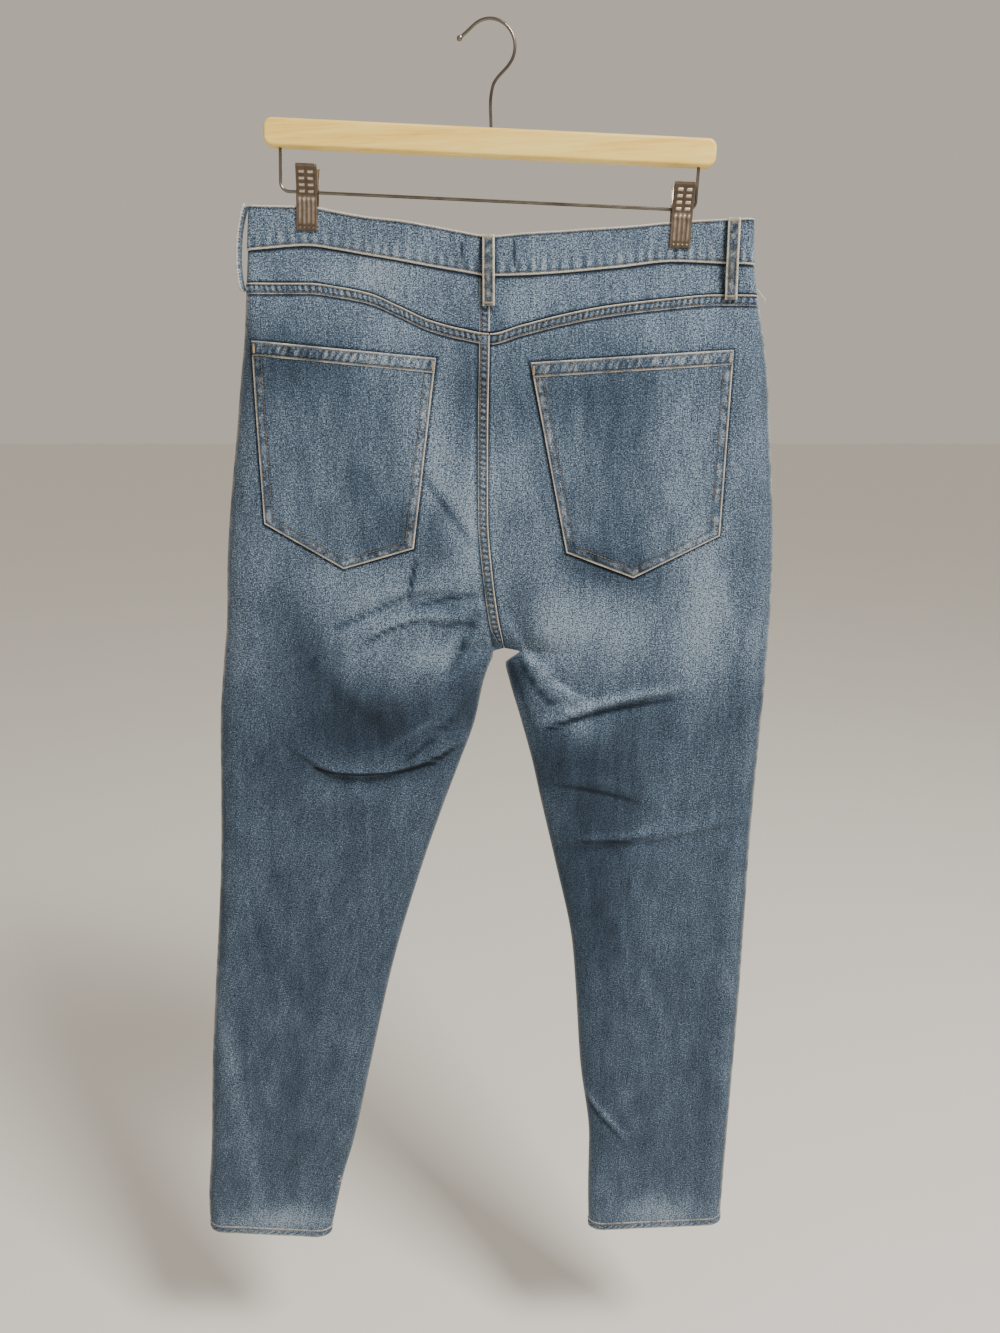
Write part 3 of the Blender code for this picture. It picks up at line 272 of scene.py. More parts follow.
# Hanger, in its own axes: u along the bar, v up from the bar's top, tilted right end down
HANGER_TILT = math.radians(2.5)
BAR_TOP_CENTRE = (0.6, -77.0)
BAR_LENGTH = 361.0
BAR_HEIGHT = 21.0
BAR_DEPTH = 12.0
BAR_END_ROUND = 7.0
BAR_EDGE_ROUND = 2.4
WIRE_RADIUS = 1.3
WIRE_DROP_U = 168.0
WIRE_V = -53.0
WIRE_CORNER = 7.0
HOOK_RADIUS = 19.5
HOOK_WIRE_RADIUS = 1.25
HOOK_TIP = (-25.5, -13.8)
HOOK_STEM_TOP = -49.0
HOOK_BALL_LENGTH = 3.8
HOOK_FROM = -38.0
HOOK_TO = 128.0
CLIP_WIDTH = 17.2
CLIP_TOP_V = -33.5
CLIP_BOTTOM_V = -82.5
CLIP_SHEET = 1.1
JAW_BAR_PITCH = 4.6
JAW_BAR_HEIGHT = 2.9
JAW_RIB_INSET = 3.2
SPRING_RADIUS = 4.2
SPRING_LENGTH = 8.0
SPRING_TURNS = 6.5
SPRING_WIRE = 0.62
JawProfile = namedtuple("JawProfile", "v inner_depth")
JAW_PROFILE = records(
    JawProfile,
    (-82.5, 3.55), (-64, 3.55), (-58, 3.8), (-53, 4.5), (-46, 6.2), (-33.5, 9.4),
)

# Fine creases that the solids leave out, in the same form as the folds
CREASES = (
    *folds(
        BACK, PLAIN,
        (-108, -494, -62, -466, -8, -484, 3.2, -1.2), (-104, -485, -62, -457, -12, -473, 3.6, 0.8),
        (-137, -478, -92, -446, -28, -452, 3.2, -1.1), (-58, -346, -42, -372, -14, -408, 5, -0.8),
        (-50, -336, -32, -362, -8, -392, 6, 0.6), (-96, -612, -64, -570, -30, -545, 4, 0.8),
        (-86, -616, -50, -590, -24, -560, 3.6, -0.8), (-56, -598, -44, -560, -16, -532, 3.6, 0.7),
        (-36, -500, -22, -520, -16, -548, 3.4, -0.8), (22, -503, 50, -540, 84, -552, 3.6, 0.9),
        (26, -520, 44, -548, 70, -562, 4, -0.9), (48, -580, 100, -556, 168, -548, 4, -1),
        (64, -628, 100, -632, 138, -646, 3.6, -0.8), (60, -600, 84, -604, 112, -600, 4, 0.6),
        (60, -420, 88, -437, 112, -446, 4.5, -0.8), (76, -690, 118, -694, 156, -684, 4, -0.7),
        (92, -962, 112, -982, 136, -1008, 3.4, 0.6), (-168, -622, -126, -640, -70, -622, 5, -0.8),
    ),
    *folds(BACK, TUCK, (-163, -612, -104, -630, -33, -591, 5, 1.2)),
    *folds(
        BACK, PLAIN,
        (-246, -640, -252, -860, -272, -1090, 5, 0.6), (226, -640, 224, -860, 222, -1080, 6, 0.5),
        (-176, -700, -206, -860, -236, -1010, 7, 0.5),
    ),
    *folds(
        FRONT, PLAIN,
        (20, -486, 70, -462, 120, -452, 4, -0.9), (-10, -486, -60, -470, -112, -462, 4, -0.9),
        (-60, -610, -120, -632, -190, -604, 5, -0.8), (70, -596, 130, -612, 200, -590, 5, -0.8),
    ),
)

# Lines of painted shade in creases and painted highlights beside them, in the same form, where `height` is
# how much the tone changes
PAINTED_CREASE_LIGHT = folds(
    BACK, PLAIN,
    (-161, -611, -148, -619, -98, -616, 1.4, -0.9), (-106, -617, -58, -614, -34, -592, 1.4, -0.85),
    (-158, -616, -104, -634, -40, -602, 5, -0.06), (-141, -482, -108, -468, -74, -452, 1.6, -0.4),
    (-66, -461, -36, -453, -7, -450, 1.7, -0.36), (-132, -470, -90, -440, -30, -444, 3, 0.12),
    (-112, -495, -86, -476, -56, -473, 1.6, -0.46), (-60, -473, -36, -484, -14, -471, 1.6, -0.32),
    (-104, -487, -62, -460, -14, -474, 2.6, 0.14), (-71, -456, -70, -438, -64, -420, 1.6, -0.62),
    (-174, -470, -156, -536, -92, -574, 7, -0.07), (-36, -522, -24, -492, -9, -464, 1.8, -0.38),
    (-46, -524, -36, -494, -22, -470, 3, 0.14), (-58, -346, -42, -372, -14, -408, 2.6, -0.26),
    (-52, -338, -36, -364, -10, -398, 3.6, 0.12), (-82, -606, -56, -588, -28, -558, 1.8, -0.24),
    (-104, -600, -72, -578, -36, -556, 3, 0.12), (13, -503, 24, -536, 44, -590, 2.6, -0.12),
    (24, -506, 40, -546, 76, -566, 1.9, -0.34), (26, -500, 54, -532, 90, -548, 2.6, 0.26),
    (46, -577, 90, -557, 170, -545, 1.8, -0.44), (44, -568, 88, -545, 166, -535, 4, 0.24),
    (60, -628, 100, -633, 138, -646, 2, -0.22), (80, -684, 120, -688, 154, -676, 1.9, -0.3),
    (80, -678, 120, -681, 154, -669, 3, 0.1), (92, -954, 112, -978, 136, -1006, 2.4, 0.18),
    (92, -962, 110, -986, 132, -1012, 1.9, -0.26),
)

# Lattices of the cloth. RISES are the shares of full depth at which columns stand in a rounded edge.
# The steps are places of rows or columns from an edge, in mm or as shares of the whole.
RISES = (0.0, 0.006, 0.016, 0.032, 0.055, 0.09, 0.14, 0.2, 0.28, 0.37, 0.47, 0.58, 0.7, 0.82, 0.92, 1.0)
SEAT_STEPS = (0.0, 0.15, 0.4, 0.8, 1.4, 2.3, 4.0, 6.5, 8.1, 8.7, 9.3, 10.2, 12.5, 17.0, 23.0, 30.0)
SEAT_BLEND = 30.0
INNER_REACH = 46.0
EDGE_STEPS = (0.0, 0.12, 0.3, 0.55, 0.9, 1.4, 2.2, 3.4, 5.2, 7.2, 8.5, 9.1, 9.6, 10.2, 11.2)
HEM_STEPS = (0.0, 0.12, 0.3, 0.6, 1.0, 1.5, 2.1, 2.8, 3.6, 4.5, 5.4, 6.3, 7.1, 7.7, 8.2, 8.55, 8.75, 8.85)
FELL_STEPS = (
    0.0, 0.1, 0.25, 0.5, 0.8, 1.1, 1.45, 1.8, 2.15, 2.6, 3.2, 4.3, 5.3, 5.9, 6.4, 6.8, 7.2, 7.6, 8.0, 8.3,
    8.6, 8.85, 9.0,
)
FELL_END_STEPS = (0.0, 0.15, 0.4, 0.9, 1.8, 3.2, 5.0)
YOKE_STEPS = (0.0, 0.006, 0.02, 0.045, 0.08)
BAND_END_STEPS = (0.0, 0.12, 0.3, 0.55, 0.9, 1.4, 2.2, 3.4, 5.2)
BAND_TOP_STEPS = (0.0, 0.004, 0.01, 0.02, 0.035, 0.048, 0.06, 0.072, 0.09)
BAND_FOOT_STEPS = (0.9, 0.915, 0.93, 0.942, 0.954, 0.966, 0.978, 0.99, 0.996, 1.0)
POCKET_STEPS = (
    0.0, 0.0008, 0.002, 0.004, 0.007, 0.0105, 0.014, 0.019, 0.028, 0.04, 0.046, 0.051, 0.056, 0.062,
)
POCKET_HEM_STEPS = (
    0.0, 0.12, 0.3, 0.6, 1.0, 1.6, 2.4, 3.4, 4.6, 5.8, 7.0, 8.2, 9.0, 9.6, 10.1, 10.6, 11.0, 11.3, 11.7,
    11.9, 12.0,
)
POCKET_HEM_END_STEPS = (0.0, 0.12, 0.3, 0.6, 1.1, 1.9, 3.0)
FLY_STEPS = (0.0, 0.004, 0.01, 0.02, 0.04, 0.07)
LOOP_STEPS = (0.0, 0.012, 0.03, 0.06, 0.1, 0.15)
LOOP_END_STEPS = (0.0, 0.003, 0.008, 0.016, 0.028, 0.045)
JAW_SIDE_STEPS = (0.0, 0.06, 0.15, 0.3, 0.5, 0.8, 1.2)
JAW_END_STEPS = (0.0, 0.06, 0.15, 0.3, 0.5, 0.8)

# Counts of columns and rows of the lattices, and of the repeats that find where lines meet
BACK_MIDDLE = 60
FRONT_MIDDLE = 30
FRONT_ARC = 14
HEM_COLUMNS = 150
FELL_COLUMNS = 185
FELL_PITCH = 1.3
YOKE_ROWS = 22
BAND_COLUMNS = {BACK: 230, FRONT: 120}
POCKET_COLUMNS = 74
POCKET_LINES = 78
POCKET_HEM_COLUMNS = 126
FLY_COLUMNS = 22
LINE_REPEATS = 5
HEM_REPEATS = 3
SEAT_ROW = 3.5
LEG_ROWS_END = -1112.0
RowStep = namedtuple("RowStep", "height step")
LEG_ROWS = records(
    RowStep,
    (-501.5, 1), (-516, 1.6), (-535, 2.2), (-575, 2.2), (-590, 1.5), (-626, 1.5), (-650, 2.6), (-700, 3.2),
    (-740, 5), (-930, 6), (-960, 3.6), (-1030, 4), (-1060, 5),
)
RELIEF_CRUMPLE = 0.22
RELIEF_FINE = 0.07

# Tone of the back and the front down the middle of the cloth
LengthTone = namedtuple("LengthTone", "height back front")
LENGTH_TONE = records(
    LengthTone,
    (-130, 0.55, 0.55), (-180, 0.56, 0.55), (-225, 0.5, 0.55), (-260, 0.45, 0.55), (-340, 0.49, 0.56),
    (-430, 0.52, 0.58), (-490, 0.51, 0.62), (-530, 0.42, 0.65), (-570, 0.34, 0.64), (-620, 0.34, 0.6),
    (-690, 0.345, 0.54), (-800, 0.33, 0.48), (-950, 0.35, 0.42), (-1060, 0.375, 0.4), (-1130, 0.44, 0.42),
)

# Soft patches of fading, and of painted shade and painted highlights on the folds: centre, reach each way,
# lean in degrees and how much paler
Patch = namedtuple("Patch", "face across height reach_across reach_height lean amount")


def patches(face, *rows):
    """Soft patches on one face."""
    return records(Patch, *((face, *row) for row in rows))


FADES_AND_PAINTED_LIGHT = (
    *patches(
        BACK,
        (-88, -180, 20, 13, 0, 0.16), (34, -212, 18, 14, 0, 0.09), (190, -205, 36, 34, 0, 0.05),
        (-158, -256, 40, 20, 0, -0.17), (-84, -248, 20, 26, 0, 0.13), (137, -236, 22, 13, 0, 0.11),
        (-14, -275, 16, 36, 0, -0.13), (-50, -335, 10, 48, -10, 0.24), (-72, -315, 12, 46, -20, 0.1),
        (10, -345, 18, 22, 0, 0.17), (-112, -340, 13, 46, -26, -0.1), (-86, -376, 26, 24, 0, -0.15),
        (-84, -406, 24, 12, 0, -0.15), (-46, -408, 12, 14, 0, -0.17), (-176, -300, 16, 50, 0, -0.06),
        (-138, -440, 30, 16, 8, 0.1), (-176, -478, 22, 44, 0, -0.18), (-104, -478, 20, 16, 14, 0.12),
        (-86, -508, 40, 12, 20, 0.1), (-24, -478, 9, 22, 0, -0.14), (-22, -440, 14, 16, 0, 0.07),
        (-90, -560, 52, 20, 8, -0.16), (-24, -540, 11, 22, 0, -0.2), (-152, -522, 22, 26, 10, -0.13),
        (-122, -634, 44, 10, 0, 0.05), (108, -300, 30, 60, 0, -0.13), (157, -325, 14, 34, 0, 0.15),
        (196, -310, 14, 40, 0, 0.04), (100, -426, 28, 14, -8, -0.26), (40, -420, 18, 26, 0, 0.06),
        (76, -466, 34, 16, 0, 0.16), (152, -440, 20, 16, 0, -0.05), (188, -455, 15, 56, 0, 0.27),
        (126, -500, 50, 26, 0, 0.05), (22, -522, 8, 18, 20, -0.3), (40, -470, 10, 10, 0, -0.1),
        (74, -556, 22, 18, 0, 0.1), (112, -690, 14, 90, -6, -0.1), (200, -700, 22, 120, 0, 0.03),
        (160, -660, 18, 30, 0, 0.06), (110, -850, 14, 160, -4, -0.04), (234, -900, 5, 220, 0, 0.1),
        (-272, -800, 6, 260, 6, 0.12), (-150, -850, 14, 180, 8, 0.03), (-212, -1108, 26, 13, 0, 0.36),
        (180, -1100, 20, 14, 0, 0.3), (146, -1100, 16, 14, 0, 0.16), (-262, -1112, 20, 7, 0, 0.12),
        (-20, -388, 12, 40, 0, 0.22), (58, -480, 17, 24, 0, 0.15), (-48, -512, 15, 10, 0, 0.18),
        (-138, -462, 14, 12, 0, 0.08), (-190, -612, 16, 26, 0, -0.11), (84, -640, 11, 60, -8, -0.14),
        (104, -388, 26, 16, 0, -0.1), (30, -285, 12, 22, 0, -0.09), (42, -540, 12, 30, 0, 0.1),
        (58, -604, 16, 24, 0, -0.2), (84, -572, 13, 12, 0, 0.2), (31, -458, 10, 18, 0, -0.18),
        (118, -486, 18, 14, 0, 0.13), (-97, -189, 14, 9, 0, 0.12), (88, -735, 14, 70, -6, -0.12),
        (219, -420, 13, 26, 0, -0.12), (-104, -592, 34, 14, 0, -0.13), (-50, -382, 16, 12, 0, -0.12),
        (-76, -540, 14, 12, 0, 0.11),
    ),
    *patches(
        FRONT,
        (-130, -620, 60, 90, 0, 0.16), (130, -620, 60, 90, 0, 0.16), (-190, -860, 36, 120, 0, 0.1),
        (165, -860, 36, 120, 0, 0.1),
    ),
)
CREASE_TONE = 0.035
FOLD_TONE = 0.02
INSIDE_TONE = 0.62

# Two short upright dark lines on the back of the waistband
BAND_MARKS = (-23.0, 19.5)
BAND_MARK_HEIGHTS = (-183.0, -161.0)
BAND_MARK_FADE = 3.0

# Size of the grid of random values, and a shift that keeps places on it positive
NOISE_GRID = (67, 71)
NOISE_SHIFT = 1000.0

# Seams: rows of stitches
STITCH_LENGTH = 2.9
STITCH_PITCH = 3.25
STITCH_RADIUS = 0.27
STITCH_RISE = 0.16
STITCH_FROM_EDGE = 1.8
TACK_PITCH = 0.62
TACK_HALF_WIDTH = 0.95
TACK_LENGTH = 8.0
LOOP_TACK_LENGTH = 8.4
LOOP_TACK_IN = 2.4
POCKET_TACK_IN = 2.6
POCKET_TACK_DOWN = 6.2
MOUTH_TACK_EDGE = -250.0
MOUTH_TACK_IN = 9.0
MOUTH_TACK_HEIGHT = -259.0
BAND_STITCH_DOWN = 2.0
BAND_STITCH_UP = 2.1
POCKET_HEM_ROWS = (2.0, 10.2)
MOUTH_ROWS = (1.8, 7.8)
FLY_ROWS = (3.0, 6.0)
FRONT_SEAM_ROWS = (1.8, 7.0)
LOOP_ROW = 3.0
POCKET_ROWS = (1.7, 7.6)
HEM_STITCH_UP = 7.2

# Where the fells and the rows of stitches start and end: heights, or places across for the band
CENTRE_FELL = 8.5
CENTRE_FELL_ENDS = (-234.5, -497.0)
YOKE_CENTRE_ENDS = (-189.5, -232.0)
YOKE_SEAM_INNER = -228.0
YOKE_SEAM_OUTER = -200.0
CENTRE_ROW_ENDS = (-193.0, -486.0)
FRONT_SEAM_TOP = -190.0
FRONT_SEAM_ENDS = (-360.0, -486.0)
BAND_ROW_ENDS = (-193.0, 208.0)
HEM_ROW_HEIGHT = -1120.0
FELL_LIFT = 0.05
STITCH_IN_CLOTH = 0.1

# The nick beside the left hem, where white fibres show: across and height
NICK = (-157.0, -1062.0)


def column(table, name):
    """One named column of a table as an array."""
    return np.array([getattr(row, name) for row in table], float)


def through(table, place, value, at):
    """Smooth curve through a table's (place, value) pairs that never overshoots them.

    Between two rows it is a cubic whose end slopes are the harmonic means of the slopes beside
    each row, or level where those slopes differ in sign.
    """
    places = column(table, place)
    values = column(table, value)
    order = np.argsort(places)
    places = places[order]
    values = values[order]
    gap = np.diff(places)
    slope = np.diff(values) / gap
    product = slope[:-1] * slope[1:]
    total = np.where(product > 0, slope[:-1] + slope[1:], 1.0)
    between = np.where(product > 0, 2 * product / total, 0.0)
    tangent = np.concatenate((slope[:1], between, slope[-1:]))
    at = np.clip(at, places[0], places[-1])
    k = np.clip(np.searchsorted(places, at, side="right") - 1, 0, len(gap) - 1)
    t = (at - places[k]) / gap[k]
    rise = t * t * (3 - 2 * t)
    start_pull = t * (1 - t) ** 2 * gap[k] * tangent[k]
    end_pull = t * t * (t - 1) * gap[k] * tangent[k + 1]
    return values[k] + (values[k + 1] - values[k]) * rise + start_pull + end_pull


def smooth_step(low, high, at):
    """0 below low, 1 above high, and a smooth rise between them."""
    t = np.clip((at - low) / (high - low), 0.0, 1.0)
    return t * t * (3 - 2 * t)


def bell(distance, width, power=2):
    """1 at a distance of 0, with a smooth fall to 0 on both sides."""
    return np.exp(-(distance / width) ** power)


def unit(vectors):
    """The same vectors with a length of 1."""
    return vectors / np.linalg.norm(vectors, axis=-1, keepdims=True)


def graded(near, length, count):
    """Places from 0 to a length, as close together at both ends as `near` is from its start."""
    near = np.array(near)
    middle = np.linspace(near[-1], length - near[-1], count)[1:-1]
    return np.concatenate((near, middle, length - near[::-1]))


def line_run(across, height):
    """Length along a line of points on a face, from its first point."""
    return np.pad(np.cumsum(np.hypot(np.diff(across), np.diff(height))), (1, 0))


def path_run(path):
    """Length along a path in space, from its first point."""
    return np.pad(np.cumsum(np.linalg.norm(np.diff(path, axis=0), axis=1)), (1, 0))


def outer_edge(side, height):
    """Across place of the outer side seam."""
    return through(OUTLINE, "height", "left_side" if side == LEFT else "right_side", height)


def inner_edge(side, height):
    """Across place of the centre seam above the crotch, and of the leg's inseam below it."""
    seat = through(CENTRE_SEAM, "height", "across", height)
    leg = through(INSEAM, "height", "left_leg" if side == LEFT else "right_leg", height)
    return np.where(height > CROTCH, seat, leg)


def rounding(distance, width, power):
    """0 on an edge and 1 at `width` from it: a power of a quarter sine wave."""
    return np.sin(0.5 * np.pi * np.clip(distance / width, 0.0, 1.0)) ** power


def fold_relief(face, across, height, table):
    """Sum of a table's folds: each falls off with the distance from its bent line and at its ends."""
    relief = np.zeros(np.shape(across))
    for fold in table:
        if fold.face != face:
            continue
        t = np.linspace(0.0, 1.0, FOLD_SAMPLES)
        line_x = (1 - t) ** 2 * fold.start_x + 2 * t * (1 - t) * fold.bend_x + t * t * fold.end_x
        line_z = (1 - t) ** 2 * fold.start_z + 2 * t * (1 - t) * fold.bend_z + t * t * fold.end_z
        reach = FOLD_REACH * fold.width
        inside_x = (across > line_x.min() - reach) & (across < line_x.max() + reach)
        chosen = inside_x & (height > line_z.min() - reach) & (height < line_z.max() + reach)
        if not np.any(chosen):
            continue
        away_x = across[chosen][:, None] - line_x
        away_z = height[chosen][:, None] - line_z
        near = np.argmin(away_x ** 2 + away_z ** 2, axis=-1)
        step_x = np.gradient(line_x)[near]
        step_z = np.gradient(line_z)[near]
        picked_x = np.take_along_axis(away_x, near[:, None], axis=-1)[:, 0]
        picked_z = np.take_along_axis(away_z, near[:, None], axis=-1)[:, 0]
        length = np.hypot(step_x, step_z)
        along = (picked_x * step_x + picked_z * step_z) / length
        beside = (picked_z * step_x - picked_x * step_z) / length
        end = (near == 0) | (near == FOLD_SAMPLES - 1)
        distance = np.where(end, np.hypot(along, beside), np.abs(beside))
        place = np.clip((near + along / length) / (FOLD_SAMPLES - 1), 0.0, 1.0)
        taper = np.sin(np.pi * (FOLD_END_SHARE + (1 - 2 * FOLD_END_SHARE) * place)) ** 0.7
        if fold.tuck:
            side_of_line = beside * np.sign(fold.end_x - fold.start_x)
            above = bell(distance, fold.width)
            below = -TUCK_FALL_DEPTH * bell(distance, TUCK_FALL_WIDTH * fold.width)
            blend = 0.5 + 0.5 * np.tanh(side_of_line / TUCK_SHARPNESS)
            profile = below + (above - below) * blend
        else:
            profile = bell(distance, fold.width)
        relief[chosen] += fold.height * taper * profile
    return relief


def pinch(across, height):
    """How far the clips press the waist flat: 1 at a clip, 0 away from it and down the hips."""
    band_seam = through(BACK_LINES, "across", "band_seam", across)
    below = 1 - smooth_step(0.0, PINCH_BELOW, band_seam - height)
    pressed = np.zeros(np.shape(across))
    for clip in CLIP_ACROSS:
        beside = 1 - smooth_step(PINCH_FLAT, PINCH_REACH, np.abs(across - clip))
        pressed = np.maximum(pressed, beside)
    return pressed * below


def inner_distance(side, across, height):
    """Distance from a leg's inseam, which becomes that from the centre seam above the crotch."""
    edge = np.abs(across - inner_edge(side, height))
    leg_edge = inner_edge(side, np.full(np.shape(across), LEG_FORK))
    into_leg = np.maximum(leg_edge - across if side == LEFT else across - leg_edge, 0.0)
    share = smooth_step(LEG_FORK, LEG_FORK + FORK_FADE, height)
    return np.where(height > LEG_FORK, into_leg + (edge - into_leg) * share, edge)


def depth_at(side, face, across, height):
    """Distance of the garment's outer face from its middle plane."""
    from_left = across - outer_edge(LEFT, height)
    from_right = outer_edge(RIGHT, height) - across
    own_side = from_left if side == LEFT else from_right
    from_outer = np.where(height > CROTCH, np.minimum(from_left, from_right), own_side)
    from_outer = np.maximum(from_outer, 0.0)
    from_inner = inner_distance(side, across, height)
    outer_width = through(EDGE_ROUND, "height", "outer", height)
    inner_width = through(EDGE_ROUND, "height", "inner", height)
    inner_power = through(EDGE_ROUND, "height", "inner_power", height)
    seam_share = np.where(height > CROTCH, through(CENTRE_SEAM, "height", "depth_share", height), 0.0)
    body = through(OUTLINE, "height", "half_depth", height)
    outer_round = rounding(from_outer, outer_width, OUTER_POWER)
    inner_round = seam_share + (1 - seam_share) * rounding(from_inner, inner_width, inner_power)
    depth = body * outer_round * inner_round
    pressed = pinch(across, height) * outer_round
    depth = depth + (PINCHED_DEPTH - depth) * pressed
    outer_fade = rounding(from_outer, FOLD_EDGE_FADE, 1.0)
    inner_fade = rounding(from_inner + FOLDS_CROSS_SEAM * seam_share, FOLD_EDGE_FADE, 1.0)
    depth = depth + fold_relief(face, across, height, FOLDS) * outer_fade * inner_fade
    return np.maximum(depth, 0.0)


def back_yoke_line(across):
    """Height of the seam between the yoke and the back panel."""
    return through(BACK_LINES, "across", "yoke_seam", across)


def back_band_line(across):
    """Height of the seam between the waistband and the yoke."""
    return through(BACK_LINES, "across", "band_seam", across)


def front_band_line(across):
    """Height of the seam between the waistband and the front panel."""
    return through(FRONT_LINES, "across", "band_seam", across)


def hanger_plane(u, v):
    """World x and z of places given along the bar (u) and up from its top (v)."""
    x = BAR_TOP_CENTRE[0] + u * math.cos(HANGER_TILT) + v * math.sin(HANGER_TILT)
    z = BAR_TOP_CENTRE[1] - u * math.sin(HANGER_TILT) + v * math.cos(HANGER_TILT)
    return x, z


def hanger_point(u, y, v):
    """World place of a point given along the bar (u), through it (y) and up from its top (v)."""
    x, z = hanger_plane(u, v)
    return np.array((x, y, z))


def hook_path():
    """Hook route in the plane y = 0: stem, slant, three quarters of a ring, and a flat tip."""
    centre_z = HOOK_WIRE_RADIUS - HOOK_RADIUS
    foot = hanger_point(0.0, 0.0, SEAM_GAP)
    slant = [(foot[0] + 0.4, HOOK_STEM_TOP - 2.0), (foot[0] + 1.6, HOOK_STEM_TOP + 3.0)]
    route = [(foot[0], foot[2])] + slant
    for angle in np.radians(np.linspace(HOOK_FROM, HOOK_TO, 22)):
        route.append((HOOK_RADIUS * math.cos(angle), centre_z + HOOK_RADIUS * math.sin(angle)))
    last = route[-1]
    for share in (0.35, 0.7, 0.9, 1.0):
        bend = 1.8 * math.sin(math.pi * share)
        route.append((
            last[0] + (HOOK_TIP[0] - last[0]) * share - 0.5 * bend,
            last[1] + (HOOK_TIP[1] - last[1]) * share - 0.5 * bend,
        ))
    return [(x, 0.0, z) for x, z in route]


def clip_centre(across):
    """Place along the bar whose clip foot lies at the given across place."""
    return (across - BAR_TOP_CENTRE[0] - CLIP_BOTTOM_V * math.sin(HANGER_TILT)) / math.cos(HANGER_TILT)


def value_noise(across, height, size_across, size_height, seed):
    """Seeded noise from -1 to 1: random values on a grid, blended smoothly between its points."""
    draw = np.random.default_rng(seed)
    values = draw.uniform(-1.0, 1.0, NOISE_GRID)
    u = across / size_across + NOISE_SHIFT
    v = height / size_height + NOISE_SHIFT
    column_low = np.floor(u).astype(int)
    row_low = np.floor(v).astype(int)
    s = u - column_low
    t = v - row_low
    s = s * s * (3 - 2 * s)
    t = t * t * (3 - 2 * t)
    rows, columns = NOISE_GRID
    here = values[row_low % rows, column_low % columns]
    right = values[row_low % rows, (column_low + 1) % columns]
    above = values[(row_low + 1) % rows, column_low % columns]
    both = values[(row_low + 1) % rows, (column_low + 1) % columns]
    return (here * (1 - s) + right * s) * (1 - t) + (above * (1 - s) + both * s) * t


def line_noise(along, size, seed):
    """Seeded noise from -1 to 1 that changes only along one line."""
    return value_noise(along, np.zeros(np.shape(along)), size, 1.0, seed)


def crumple(across, height):
    """Small unevenness of hanging cloth: two sizes of value noise, longer down than across."""
    broad = value_noise(across, height, 17.0, 30.0, 11)
    small = value_noise(across, height, 6.5, 9.0, 12)
    return RELIEF_CRUMPLE * broad + RELIEF_FINE * small


def surface_relief(side, face, across, height):
    """Creases and crumples on the garment's face, faded out beside a leg's two edges."""
    from_outer = np.abs(outer_edge(side, height) - across)
    from_inner = np.hypot(inner_distance(side, across, height), np.maximum(height - CROTCH, 0.0))
    fade = rounding(from_outer, FOLD_EDGE_FADE, 1.0) * rounding(from_inner, FOLD_EDGE_FADE, 1.0)
    return (fold_relief(face, across, height, CREASES) + crumple(across, height)) * fade


def face_depth(side, face, across, height):
    """Distance of the dressed face from the middle plane: the garment's depth and its fine relief."""
    depth = depth_at(side, face, across, height) + surface_relief(side, face, across, height)
    return 0.5 * SEAM_GAP + np.maximum(depth, 0.0)


def ladder(along, pitch, seed):
    """Puckers along a seam from -1 to 1: a sine of the given pitch whose phase and height wander."""
    wander = line_noise(along, 3.1 * pitch, seed)
    strength = 0.78 + 0.22 * line_noise(along, 2.2 * pitch, seed + 200)
    return np.sin(2 * np.pi * along / pitch + 2.6 * wander) * strength


def tone_with_painted_light(face, across, height):
    """Tone of the cloth: its tone down its length, patches of fading and of painted light and shade, the
    folds, painted crease shade and highlights and broad mottling.
    """
    tone = through(LENGTH_TONE, "height", "back" if face == BACK else "front", height)
    # Patches of fading, and of painted shade and painted highlights on the folds
    for patch in FADES_AND_PAINTED_LIGHT:
        if patch.face != face:
            continue
        lean = math.radians(patch.lean)
        x = across - patch.across
        z = height - patch.height
        along = (x * math.cos(lean) + z * math.sin(lean)) / patch.reach_across
        up = (z * math.cos(lean) - x * math.sin(lean)) / patch.reach_height
        tone = tone + patch.amount * np.exp(-0.5 * (along ** 2 + up ** 2))
    tone = tone + FOLD_TONE * fold_relief(face, across, height, FOLDS)
    tone = tone + CREASE_TONE * fold_relief(face, across, height, CREASES)
    # Painted shade in creases and painted highlights beside them
    tone = tone + fold_relief(face, across, height, PAINTED_CREASE_LIGHT)
    tone = tone + 0.035 * value_noise(across, height, 22.0, 46.0, 21)
    tone = tone + 0.045 * value_noise(across, height, 5.0, 26.0, 22)
    return tone


def lattice_normals(face, points):
    """Outward unit normals of a lattice, from the differences between neighbouring points."""
    down = np.gradient(points, axis=0)
    along = np.gradient(points, axis=1)
    normal = np.cross(down, along)
    normal /= np.maximum(np.linalg.norm(normal, axis=-1, keepdims=True), 1e-9)
    if np.sum(normal[..., 1]) * face < 0:
        normal = -normal
    return normal


def run_lengths(points, axis):
    """Length along the lattice lines from their first points, and back from their last points."""
    step = np.linalg.norm(np.diff(points, axis=axis), axis=-1)
    pad = [(0, 0), (0, 0)]
    pad[axis] = (1, 0)
    run = np.pad(np.cumsum(step, axis=axis), pad)
    return run, np.take(run, [-1], axis=axis) - run


def quarter_round(distance, radius):
    """0 on an edge and 1 from `radius` on, rising as a quarter of a circle."""
    return np.sqrt(np.maximum(0.0, 1 - (1 - np.clip(distance / radius, 0.0, 1.0)) ** 2))


def add_object(name, data):
    """Put a mesh, camera or light into the scene."""
    piece = bpy.data.objects.new(name, data)
    bpy.context.scene.collection.objects.link(piece)
    return piece


def grid_quads(index):
    """Four corners of every cell in a grid of vertex numbers."""
    corners = (index[:-1, :-1], index[1:, :-1], index[1:, 1:], index[:-1, 1:])
    return np.stack(corners, axis=-1).reshape(-1, 4)


